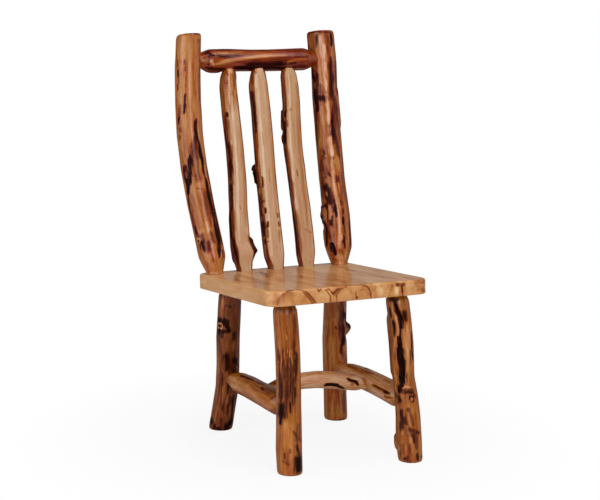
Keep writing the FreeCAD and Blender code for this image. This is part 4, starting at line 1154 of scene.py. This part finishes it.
# %% Marks of the rail and the stretchers
LEVEL_SIDEWAYS = ((0, 0, 1.0), (0, 1.0, 0))
LEVEL_FORE_AFT = ((0, 0, 1.0), (1.0, 0, 0))
RAIL_STROKES = (
    # painted highlight: the 0.66 glint at the end of this line
    (0.5, 1.7, ((214, 52.6), (245, 52.8), (285, 52.8))), (0.66, 1.1, ((218, 52.8), (228, 52.6))),
    (0.16, 1.4, ((216, 56), (242, 56.6))),
    (0.66, 1.6, ((213, 65), (221, 62.6), (231, 60.4), (245, 58.8), (256, 56.8), (270, 55.6), (286, 55.4))),
    # painted shade: the near-black strokes along the rail's underside, y 64 to 69, on this line and the
    # next
    (0.36, 1.4, ((243, 61), (262, 60.4), (284, 59.6))), (0, 3, ((234, 67.6), (256, 68), (288, 68))),
    (0.01, 2.6, ((246, 65), (258, 64), (286, 63.8))), (0.05, 1.6, ((206, 67.6), (224, 68.8))),
    (0.42, 2.6, ((204.6, 57), (204.6, 65))), (0.06, 1.3, ((205, 54), (208.4, 52.4))),
    (0.02, 1.4, ((210, 54.6), (213.4, 55.4))), (0.64, 0.8, ((214.8, 53.8),)),
    (0.18, 0.7, ((208.6, 55), (208.2, 66))), (0.62, 1.3, ((211, 62), (213.6, 65))),
    (0.28, 1.6, ((295, 54.6), (307, 55)), 4), (0.5, 1.2, ((288, 61.6), (298, 58.8), (307, 59.4))),
    (0.06, 1.1, ((289, 63.6), (296, 62.8))), (0.14, 1.7, ((292, 66.4), (306, 65.8))),
    (0.1, 1.2, ((310.4, 54),)), (0.2, 0.7, ((294, 57), (310, 56.8))),
    (0.12, 0.9, ((206, 52), (215, 50.4), (250, 50.2), (290, 50.2), (303, 50.4))),
)
RAIL_DIGS = (
    (-4, 3.5, 12, ((206, 70), (217, 71))), (-1.5, 1.5, 5, ((213, 64.5), (232, 60), (262, 58))),
)
BAR_LEFT_STROKES = (
    (0.74, 3, ((222.6, 375.6), (230, 377.6), (236, 380.6)), 5),
    (0.66, 4, ((226, 380), (238, 386), (252, 392))), (0.13, 1.5, ((240.6, 375.6), (248, 378), (254, 381))),
    (0.36, 1.5, ((256, 381.4), (264, 385))), (0.32, 3.2, ((266, 388.6), (275, 393))),
    (0.12, 1.3, ((262, 388), (263.4, 390.6))), (0.26, 1, ((271, 399), (276, 396))),
    (0.68, 1.9, ((253, 394.6), (257, 400))), (0.22, 0.9, ((275, 384.6), (277, 386.6))),
)
BAR_RIGHT_STROKES = (
    (0.42, 2.6, ((347, 365), (360, 370), (373, 374))), (0.82, 2.4, ((352, 374), (362, 376)), 5),
    (0.6, 1.2, ((352, 362.4), (368, 368.4))), (0.6, 1.7, ((358, 369), (362, 373))),
    (0.14, 1.7, ((366, 368.6), (374, 370))), (0.84, 3, ((368, 378), (378, 383), (389, 388))),
    (0.6, 1.7, ((384, 380), (391, 383))), (0.03, 1.7, ((375.6, 370), (379, 372))),
    (0.88, 2.6, ((371, 390.4), (383, 395)), 5), (0.2, 1, ((372, 384.6), (380, 388.4), (390, 393))),
    (0.06, 1.2, ((384, 391), (390, 393.4))), (0.26, 0.9, ((385, 396), (392, 398))),
)
BAR_CROSS_STROKES = (
    (0.8, 2, ((325, 371.8), (340, 371.4), (352, 373.8))), (0.92, 2.6, ((300, 379), (317, 375.6))),
    (0.74, 0.8, ((306, 375.6), (322, 372.8))), (0.34, 3, ((267, 385), (276, 382.6))),
    (0.55, 2, ((362, 378), (365, 384))), (0.28, 0.8, ((366.2, 378), (366.2, 386))),
    (0.82, 1, ((333, 386.4), (338, 386.4))), (0.5, 1.3, ((352, 384.2),)),
    # painted shade: the near-black strokes on this line run along the stretcher's underside
    (0, 1.9, ((325, 385), (331, 384), (337.4, 385.2)), 3), (0.01, 1.5, ((337.4, 385.4), (343.4, 388.4)), 3),
    (0.02, 0.9, ((350.8, 374.6), (356, 375.4))),
    # painted shadow: this stroke lies on the stretcher's end by the right stretcher
    (0, 1.5, ((347, 379), (352, 380.8), (357, 382.2), (358, 385.4)), 2.6),
)
print("rail: %d strokes, stretchers: %d, %d and %d" % tuple(len(strokes) for strokes in (
    RAIL_STROKES, BAR_LEFT_STROKES, BAR_RIGHT_STROKES, BAR_CROSS_STROKES)))

# %% Rail and stretchers
rail = build_pole("top_rail", LEVEL_SIDEWAYS, 31, 0.37, RAIL_STROKES, RAIL_DIGS)
bar_left = build_pole("side_stretcher_left", LEVEL_FORE_AFT, 32, 0.56, BAR_LEFT_STROKES)
bar_right = build_pole("side_stretcher_right", LEVEL_FORE_AFT, 33, 0.78, BAR_RIGHT_STROKES)
bar_cross = build_pole("cross_stretcher", LEVEL_SIDEWAYS, 34, 0.83, BAR_CROSS_STROKES)

# %% [markdown]
# The back spindles were sawn lengthwise, so the sitter leans on a flat, pale face, while the left
# edge still shows the round, dark, bark-stained side of the pole. The last three values say where
# the flat runs out in the photograph, and over how many millimetres its pale colour fades there.

# %% Marks of the back spindles
SPINDLE_LEFT_STROKES = (
    (0.52, 3.8, ((222.4, 70), (223, 90), (224.6, 114)), 8), (0.62, 3.6, ((234, 70), (235, 92)), 9),
    (0.64, 3.6, ((229, 66), (229.6, 84), (231, 104)), 9),
    # painted highlight: the 0.88 strokes on this line and the next, down the head's ridge and along the
    # sawn arris
    (0.88, 1.1, ((228.2, 67), (228.8, 82), (229.6, 104)), 4), (0.3, 0.8, ((227.4, 71), (227.8, 76)), 3),
    (0.88, 1.7, ((231.8, 96), (235.6, 150), (237.8, 195), (239.8, 240))),
    (0.44, 2.4, ((239, 104), (243, 155), (245.4, 200), (246.4, 226))),
    (0.28, 1.9, ((227, 118), (229.6, 142))), (0.12, 1, ((224.6, 128), (227.4, 150))),
    (0.12, 2.4, ((229, 144), (230.8, 160))), (0.04, 2.6, ((230.4, 162), (231.4, 178))),
    (0.2, 1.2, ((232.4, 178), (233, 184))), (0.12, 2.4, ((231.6, 192), (232, 210))),
    (0.02, 1.8, ((231.2, 186), (231.4, 189.6))), (0.3, 1.4, ((233.4, 208), (234.6, 232))),
    (0.06, 1.2, ((230.2, 205), (232.2, 240))), (0.1, 1.5, ((233.4, 238), (236, 256))),
    (0.16, 1.6, ((236.4, 250), (239, 264))), (0.03, 1.3, ((226.8, 113.4), (227, 115.6))),
    (0.36, 0.4, ((234.8, 160), (235.4, 174))), (0.42, 0.7, ((239.6, 206), (240.8, 208.6))),
    (0.24, 0.7, ((245.8, 172), (247.6, 199))), (0.03, 2.6, ((250.6, 237), (254, 243), (256, 248))),
    (0.05, 1.6, ((256.6, 246), (255.2, 255), (252.8, 263)), 4),
)
SPINDLE_LEFT_DIGS = (
    (-8, 2.6, 9, ((252.4, 240), (254.6, 250))), (-3, 2.4, 8, ((230, 212), (231, 262))),
)
SPINDLE_MIDDLE_STROKES = (
    (0.72, 4.6, ((257, 67), (259, 70)), 6), (0.54, 2.8, ((252, 72), (252.4, 90)), 5),
    # painted highlight: the 0.92 stroke down the head's ridge and the 0.88 one along the sawn arris
    (0.92, 0.8, ((255.6, 73), (256.4, 88)), 3),
    (0.88, 1.4, ((257, 74), (260.4, 120), (263.6, 160), (268.8, 215), (272, 255))),
    (0.48, 1.8, ((266, 82), (270, 130), (273.4, 170), (276.6, 214))),
    (0.54, 0.5, ((262.4, 96), (264.4, 124))), (0.1, 1.9, ((252, 92), (254.6, 112), (256.4, 128))),
    (0.38, 2, ((255, 134), (257, 150))), (0.66, 1.1, ((259.2, 136), (260.4, 156))),
    (0.06, 0.9, ((255, 150), (257, 166))), (0.42, 1.5, ((259, 165), (260.6, 182))),
    (0.18, 1.3, ((261.6, 177), (262.6, 187))), (0.4, 2.6, ((261.4, 190), (262.4, 204))),
    (0.14, 1.7, ((259.4, 196), (262, 220), (263.4, 236))), (0.04, 1.2, ((265.2, 209), (265.4, 212))),
    (0.1, 1.1, ((263.2, 201),)), (0.07, 1.5, ((264, 222), (265, 228))),
    (0.12, 1, ((268.2, 222), (267.8, 227))), (0.26, 1, ((267.2, 229), (267.8, 238))),
    (0.56, 1.8, ((264.6, 238), (265.8, 256))), (0.13, 1, ((262.6, 240), (264.6, 258))),
    (0.1, 0.7, ((267.8, 241.5),)), (0.1, 0.7, ((267.9, 251),)), (0.2, 1.3, ((265, 258), (268, 262))),
    (0.58, 1, ((258.6, 148), (259.2, 164), (259.9, 176), (261, 187)), 3),
    (0.02, 3.2, ((251.4, 166), (253.2, 172), (256.6, 182)), 3.5), (0.4, 0.7, ((252.4, 170),), 2),
    (0.02, 1.3, ((256.2, 131),)), (0.44, 0.5, ((262, 132), (264, 147))),
    (0.5, 0.4, ((265.2, 155), (265.4, 164))), (0.4, 0.8, ((268.8, 168), (270.2, 183))),
    (0.36, 0.7, ((274.8, 168), (277, 190))), (0.25, 0.9, ((277.6, 214), (277.8, 217))),
    (0.2, 0.8, ((278.6, 222), (279, 226))), (0.46, 1.3, ((279, 230), (279.6, 242))),
    (0.34, 0.5, ((276, 245), (276.6, 248.4))), (0.5, 0.6, ((276.6, 250), (276.8, 260))),
)
SPINDLE_MIDDLE_STROKES += scattered(65, 16, (259.4, 186), (264, 244), 2.6, (2, 7), (0.5, 1.2),
                                    (0.05, 0.1, 0.4, 0.6))
SPINDLE_MIDDLE_DIGS = (
    (-7, 1.8, 4, ((252.4, 166.6), (252.6, 169.6))), (-5, 2, 5, ((253.8, 173), (256.6, 182))),
)
SPINDLE_RIGHT_STROKES = (
    (0.64, 4.5, ((288, 67), (288.5, 71))),
    # painted highlight: the 0.84 stroke along the sawn arris
    (0.84, 1.3, ((288.4, 74), (289.6, 105), (290.4, 135), (293.6, 180), (298, 232))),
    (0.4, 2, ((295.8, 84), (298.4, 130), (302, 175), (307.6, 225))),
    (0.42, 2.2, ((283, 68), (284, 90), (285.6, 106))), (0.38, 2, ((286.4, 146), (288.8, 160), (291, 180))),
    (0.32, 1.7, ((292, 180), (293.8, 200))), (0.28, 1.6, ((296, 210), (299, 235), (301, 258))),
    (0.06, 1.1, ((285.4, 148), (288.2, 175), (290.8, 200))),
    (0.08, 1.3, ((292, 205), (296, 235), (298, 255))), (0.06, 2.3, ((285.2, 131), (285.2, 141))),
    (0.25, 1.3, ((286.4, 121), (286.8, 126))), (0.04, 1.4, ((286, 111), (285, 117))),
    (0.04, 1.3, ((283.4, 119), (284.4, 124))), (0.05, 1.4, ((284.6, 126), (285.4, 131))),
    (0.56, 0.7, ((284.6, 117.5), (285.6, 121))), (0.4, 0.8, ((289.6, 110), (291.6, 108.8))),
    (0.22, 1.2, ((297, 170.6), (297.6, 175.4))), (0.44, 0.8, ((299.6, 146), (302, 149), (300.6, 152))),
    (0.4, 0.6, ((304, 228.8), (308.6, 230.6), (311.2, 233))), (0.32, 0.9, ((310.6, 232.2),)),
    (0.2, 0.8, ((310, 262),)),
)
SPINDLE_RIGHT_DIGS = (
    (-4, 1.6, 5, ((281.6, 112), (281.8, 117))), (-4, 1.8, 6, ((281.4, 120), (282.6, 128))),
    (-2.5, 1.6, 6, ((282.4, 136), (283, 142))),
)
print("back spindles: %d, %d and %d strokes" % tuple(len(strokes) for strokes in (
    SPINDLE_LEFT_STROKES, SPINDLE_MIDDLE_STROKES, SPINDLE_RIGHT_STROKES)))

# %% Back spindles
spindle_facts = (("left", 41, 0.34, 0.60, SPINDLE_LEFT_STROKES, SPINDLE_LEFT_DIGS, (229, 92, 80)),
                 ("middle", 42, 0.34, 0.61, SPINDLE_MIDDLE_STROKES, SPINDLE_MIDDLE_DIGS, (258, 74, 10)),
                 ("right", 43, 0.32, 0.56, SPINDLE_RIGHT_STROKES, SPINDLE_RIGHT_DIGS, (288, 71, 10)))
spindles = [build_pole("back_spindle_" + side, UPRIGHT, seed, tone, strokes, digs,
                       foot_cut=seat_top_plane, sawn=True, flat_tone=flat_tone, flat_end=flat_end)
            for side, seed, tone, flat_tone, strokes, digs, flat_end in spindle_facts]

# %% [markdown]
# Each pole takes the wood that it shows, and open end grain on its sawn ends.

# %% Give each pole its finish
finishes = (((post_left, post_right, leg_br), peeled_aspen, "peeled_pole"),
            ((leg_fl, leg_fr, leg_bl, bar_left, bar_right, bar_cross), leg_aspen, "peeled_pole"),
            ((rail,), dark_aspen, "dark_pole"), (spindles, sawn_aspen, "sawn_spindle"))
for pieces, wood, slot in finishes:
    for piece in pieces:
        piece.data.materials.append(wood)
        piece.data.materials.append(aspen_end)
    print("%-12s %d poles of %s" % (slot, len(pieces), wood.name))

# %% [markdown]
# The seat is one thick plank glued up from four boards whose grain runs from front to back. Growth
# rings are tubes round the tree's pith, so one pattern of rings round an axis gives arcs on the
# sawn front edge and long, soft streaks on top, and the two always meet at the arris. The boards
# are box grids whose outer corners are pressed round, which keeps corners on hand for the marks.

# %% Sizes and marks of the seat
TOP_ROUND = 6 * MM
BOTTOM_EASE = 3 * MM
CORNER_RADIUS = 40 * MM
SEAT_STEP = 2.4 * MM
EDGE_SHARES = (0, 0.15, 0.32, 0.52, 0.75)   # grid lines crowd together where an edge is rounded
ARRIS_ANGLE = math.radians(38)
LONG_STEP = 1.3                             # along the boards the grid is this much coarser
JITTER, JITTER_WAVES = 0.3, (8, 0, 150, 1.0)
MARK_SOFT, MARK_SHARE, MARK_FINE = 2.2 * MM, 0.9, 3 * MM
seat_half_x = (seat_spans[0][1] - seat_spans[0][0]) / 2
seat_half_y = (seat_spans[1][1] - seat_spans[1][0]) / 2
seat_shells = [shell_of(node) for node in SEAT_NODES]
SEAT_STROKES = (
    # painted light: the wide 0.67 stroke that opens this line and the 0.6 one on the next line lighten the
    # seat's left face
    (0.67, 6, ((206, 283), (226, 290), (256, 297))), (0.55, 5.5, ((374, 293), (396, 290.5), (420, 287.5))),
    (0.54, 5, ((286, 300), (297, 298), (305, 300))), (0.6, 4, ((207, 282), (218, 287))),
    (0.5, 2.4, ((280, 303), (281.6, 299), (284.6, 295.6), (289, 293))),
    (0.42, 0.9, ((277, 305), (278.6, 299.6), (282, 295.2), (287, 291.8))),
    (0.26, 0.9, ((287, 291.8), (294, 290), (302, 290.4), (307, 292.4), (311, 296.5), (315.6, 302.5))),
    (0.36, 1.5, ((304, 292.4), (309, 297), (313, 303))), (0.18, 0.8, ((287, 291.6), (290, 289.8))),
    (0.22, 0.9, ((317.4, 289.2), (319, 291.4), (320.8, 289.2))),
    (0.2, 0.8, ((325.8, 290.6), (329, 288.8), (331.6, 292.6), (334, 294.6))),
    (0.2, 0.8, ((327.6, 292), (330.4, 296), (330.2, 301.6))), (0.2, 0.7, ((336.7, 295.5), (336.7, 301.6))),
    (0.24, 0.8, ((333.6, 293.6), (337.6, 289.4), (343.8, 285.6), (352, 285.2), (362.6, 285),
      (367.4, 286.6), (370, 290.6), (371.3, 297.8))),
    (0.32, 0.7, ((336, 295), (340.7, 289.2), (346.4, 286.4))), (0.24, 0.7, ((355.5, 285), (355.8, 295))),
    (0.04, 1.1, ((356.9, 297.4),)), (0.42, 0.5, ((361, 290), (365, 289), (368, 293))),
    (0.34, 0.4, ((374.7, 285.6), (374.9, 292))), (0.8, 3, ((380, 290), (380, 294))),
    (0.44, 1.4, ((392.4, 286), (389.4, 295))), (0.88, 2.2, ((396.6, 287), (396.6, 293))),
    (0.24, 1.8, ((397, 284.8), (403.6, 284.6))), (0.18, 1.1, ((401.8, 286), (402.4, 296))),
    (0.72, 3, ((409, 286), (409, 292))), (0.4, 2.6, ((416, 281.8), (424, 281.8))),
    (0.44, 2, ((418, 290), (423, 288))), (0.34, 1.3, ((421.4, 289.7), (423, 291))),
    # painted reflection: the 0.42, 0.36, 0.46 and 0.5 strokes between x 235 and 282 stand for the posts and
    # spindles mirrored in the seat's top
    (0.4, 2.2, ((417, 285), (424, 291))), (0.42, 5, ((239, 275), (252, 279), (267, 284.4))),
    (0.36, 3, ((261, 271.8), (265, 274.4), (268, 277))), (0.46, 2.4, ((235, 276), (237.6, 280.6))),
    (0.5, 4, ((270, 272), (282, 282))), (0.16, 1, ((310, 269.4),)), (0.3, 1.2, ((296, 272), (304, 272.4))),
    (0.44, 2, ((297, 268), (302, 278))), (0.4, 3.6, ((334, 265.6), (343, 267.4), (353, 271))),
    (0.48, 3.5, ((330, 279), (345, 283))), (0.4, 0.8, ((359.4, 267.4), (363, 268.6))),
    (0.4, 0.7, ((379, 270), (383, 271))), (0.46, 2.2, ((404, 277), (413, 279.6))),
)
print("seat %.0f by %.0f mm, %.0f mm thick" % tuple(
    size / MM for size in (2 * seat_half_x, 2 * seat_half_y, seat_thickness)))


# %% Rounded grids
def grid_lines(low, high, round_low, round_high, step):
    """Places of grid lines between two ends, close together where an edge is rounded."""
    inner_low, inner_high = low + round_low, high - round_high
    count = max(2, int(round((inner_high - inner_low) / step)) + 1)
    lines = list(np.linspace(inner_low, inner_high, count))
    if round_low:
        lines = [low + round_low * share for share in EDGE_SHARES] + lines
    if round_high:
        lines += [high - round_high * share for share in EDGE_SHARES[::-1]]
    return np.array(lines)


def pressed_round(x, y, depth):
    """Round the seat's corners in plan and its long edges, for any place in its box."""
    over_x = np.maximum(np.abs(x) - (seat_half_x - CORNER_RADIUS), 0)
    over_y = np.maximum(np.abs(y) - (seat_half_y - CORNER_RADIUS), 0)
    far = np.hypot(over_x, over_y)
    inset = CORNER_RADIUS - np.maximum(over_x, over_y)
    for reach, level in ((TOP_ROUND, depth), (BOTTOM_EASE, seat_thickness - depth)):
        side, rise = reach - inset, reach - level
        zone = (side > 0) & (rise > 0)
        press = np.where(zone, np.maximum(side, rise) / np.maximum(np.hypot(side, rise), 1e-9), 1.0)
        inset = np.where(zone, reach - side * press, inset)
        moved = reach - rise * press
        depth = np.where(zone, moved if level is depth else seat_thickness - moved, depth)
    reach = np.where(far > 0, (CORNER_RADIUS - inset) / np.maximum(far, 1e-9), 0)
    base_x = np.clip(np.abs(x), 0, seat_half_x - CORNER_RADIUS)
    base_y = np.clip(np.abs(y), 0, seat_half_y - CORNER_RADIUS)
    return (np.sign(x) * (base_x + over_x * reach), np.sign(y) * (base_y + over_y * reach), depth)


# %% Tones of the seat
def on_seat(px, py):
    """Where a sight line meets the seat."""
    hits = [shell.ray_cast(eye, sight(px, py)) for shell in seat_shells]
    return np.array(min((hit for hit in hits if hit[0]), key=lambda hit: hit[3])[0])


def near_line(points, line):
    """Distance of each point from a line of places."""
    best = np.full(len(points), 1e3)
    for a, b in list(zip(line, line[1:])) or [(line[0], line[0])]:
        run = b - a
        share = np.clip(((points - a) @ run) / max(run @ run, 1e-12), 0, 1)
        best = np.minimum(best, np.linalg.norm(points - a - share[:, None] * run, axis=1))
    return best


def seat_tones(points, x, y, tone, seed):
    """A board's own tone with the seat's strokes laid over it, their edges a little uneven; among them are
    painted light on the left face and painted reflections of the posts and spindles.
    """
    rng = np.random.default_rng(seed)
    tones = np.full(len(points), tone)
    jitter = wave_height(waves(rng, JITTER_WAVES), y, x) + wave_height(waves(rng, JITTER_WAVES), x, y)
    for stroke_tone, half_width, places in SEAT_STROKES:
        gap = near_line(points, [on_seat(px, py) for px, py in places])
        reach = half_width * pixel_size
        soft = MARK_SOFT + MARK_SHARE * max(reach - MARK_FINE, 0)
        mask = np.clip((reach * (1 + JITTER * jitter) - gap) / soft + 0.5, 0, 1)
        tones = tones * (1 - mask) + stroke_tone * mask
    return tones


# %% A seat board
def build_board(node, pith, tone, seed):
    """One seat board as a pressed box grid, with the place of its pith (in x and in depth)."""
    low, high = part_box(node)
    first, last = node == SEAT_NODES[0], node == SEAT_NODES[-1]
    lines = [grid_lines(low.x - seat_middle.x, high.x - seat_middle.x, TOP_ROUND if first else 0,
                        TOP_ROUND if last else 0, SEAT_STEP),
             grid_lines(-seat_half_y, seat_half_y, TOP_ROUND, TOP_ROUND, SEAT_STEP * LONG_STEP),
             grid_lines(0, seat_thickness, TOP_ROUND, BOTTOM_EASE, SEAT_STEP)]
    index = np.full([len(line) for line in lines], -1)
    at = np.indices(index.shape)
    skin = np.zeros(index.shape, bool)
    for axis, line in enumerate(lines):
        skin |= (at[axis] == 0) | (at[axis] == len(line) - 1)
    index[skin] = np.arange(skin.sum())
    x, y, depth = pressed_round(*(line[at[axis][skin]] for axis, line in enumerate(lines)))
    points = (np.array(seat_middle) + np.outer(x, (1, 0, 0)) + np.outer(y, seat_back)
              - np.outer(depth, seat_up))
    faces = []
    for axis in range(3):
        for end in (0, -1):
            sheet = np.take(index, end, axis)
            corners = [sheet[:-1, :-1], sheet[1:, :-1], sheet[1:, 1:], sheet[:-1, 1:]]
            quads = np.stack(corners, -1).reshape(-1, 4)
            flip = (end == 0) == (axis == 0)
            faces.extend((quads[:, ::-1] if flip else quads).tolist())
    mesh = bpy.data.meshes.new(node + "_plank")
    mesh.from_pydata(points.tolist(), [], faces)
    mesh.polygons.foreach_set("use_smooth", [True] * len(faces))
    mesh.set_sharp_from_angle(angle=ARRIS_ANGLE)
    give_attribute(mesh, "plank", "FLOAT_VECTOR", np.stack([x - pith[0], y, depth - pith[1]], 1))
    give_attribute(mesh, "tone", "FLOAT", seat_tones(points, x, y, tone, seed))
    piece = place_piece(node, "_plank", mesh)
    print("%-14s %6d faces" % (node, len(faces)))
    return piece


# %% Lacquered plank
PLANK_STOPS = ((0.0, "#2A0E06"), (0.18, "#662C12"), (0.36, "#985628"), (0.50, "#B47843"),
               (0.64, "#C6915E"), (0.80, "#D2A678"), (1.0, "#E2C29C"))


def plank_wood(name):
    """Lacquered plank: growth rings round each board's pith, bent a little on their way back."""
    material, tree = new_material(name)
    plank = add(tree, "ShaderNodeAttribute", attribute_name="plank").outputs["Vector"]
    tone = add(tree, "ShaderNodeAttribute", attribute_name="tone").outputs["Fac"]
    slow, grain, cloud_at = (
        add(tree, "ShaderNodeMapping", {"Vector": plank}, {"Scale": scale}).outputs[0]
        for scale in ((14, 3.5, 14), (420, 16, 420), (30, 6, 30)))
    bend = add(tree, "ShaderNodeTexNoise", {"Vector": slow}, {"Scale": 1.0, "Detail": 2.0})
    shift = add(tree, "ShaderNodeVectorMath", {0: bend.outputs["Color"]}, {1: (0.5, 0.5, 0.5)},
                operation="SUBTRACT")
    shift = add(tree, "ShaderNodeVectorMath", {0: shift.outputs[0]}, {1: (0.06, 0.0, 0.03)},
                operation="MULTIPLY")
    bent = add(tree, "ShaderNodeVectorMath", {0: plank, 1: shift.outputs[0]}, operation="ADD")
    rings = add(tree, "ShaderNodeTexWave", {"Vector": bent.outputs[0]},
                {"Scale": 48.0, "Distortion": 1.2, "Detail": 2.0, "Detail Scale": 1.0},
                wave_type="RINGS", rings_direction="Y", wave_profile="SAW")
    fibre = add(tree, "ShaderNodeTexNoise", {"Vector": grain},
                {"Scale": 1.0, "Detail": 3.0, "Roughness": 0.6})
    cloud = add(tree, "ShaderNodeTexNoise", {"Vector": cloud_at},
                {"Scale": 1.0, "Detail": 4.0, "Roughness": 0.55, "Distortion": 0.5})
    total = tone
    for source, strength in ((rings, 0.025), (fibre, 0.06), (cloud, 0.30)):
        part = add(tree, "ShaderNodeMapRange", {"Value": source.outputs["Fac"]},
                   {"To Min": -strength, "To Max": strength}).outputs[0]
        total = add(tree, "ShaderNodeMath", {0: total, 1: part}, operation="ADD").outputs[0]
    colour = ramp_stops(add(tree, "ShaderNodeValToRGB", {"Fac": total}), PLANK_STOPS)
    bump = add(tree, "ShaderNodeBump", {"Height": fibre.outputs["Fac"]},
               {"Strength": 0.25, "Distance": 0.15 * MM})
    shader = add(tree, "ShaderNodeBsdfPrincipled",
                 {"Base Color": colour.outputs[0], "Normal": bump.outputs[0]},
                 {"Roughness": 0.6, "IOR": LACQUER_IOR, "Specular IOR Level": 0.05,
                  "Coat Weight": 0.7, "Coat Roughness": 0.18, "Coat IOR": LACQUER_IOR})
    add(tree, "ShaderNodeOutputMaterial", {"Surface": shader.outputs[0]})
    return material


# smooth honey-coloured boards under a thicker, glossier coat than the poles have
lacquered_plank = plank_wood("lacquered_seat_plank")
print("%s: %d shader nodes" % (lacquered_plank.name, len(lacquered_plank.node_tree.nodes)))

# %% Seat boards
# each board: its pith's place across and under the top (m), its tone, its seed
board_facts = (((-0.150, 0.045), 0.61, 51), ((0.012, 0.032), 0.57, 52),
               ((0.095, 0.070), 0.63, 53), ((0.185, 0.060), 0.62, 54))
for node, (pith, board_tone, seed) in zip(SEAT_NODES, board_facts):
    build_board(node, pith, board_tone, seed).data.materials.append(lacquered_plank)
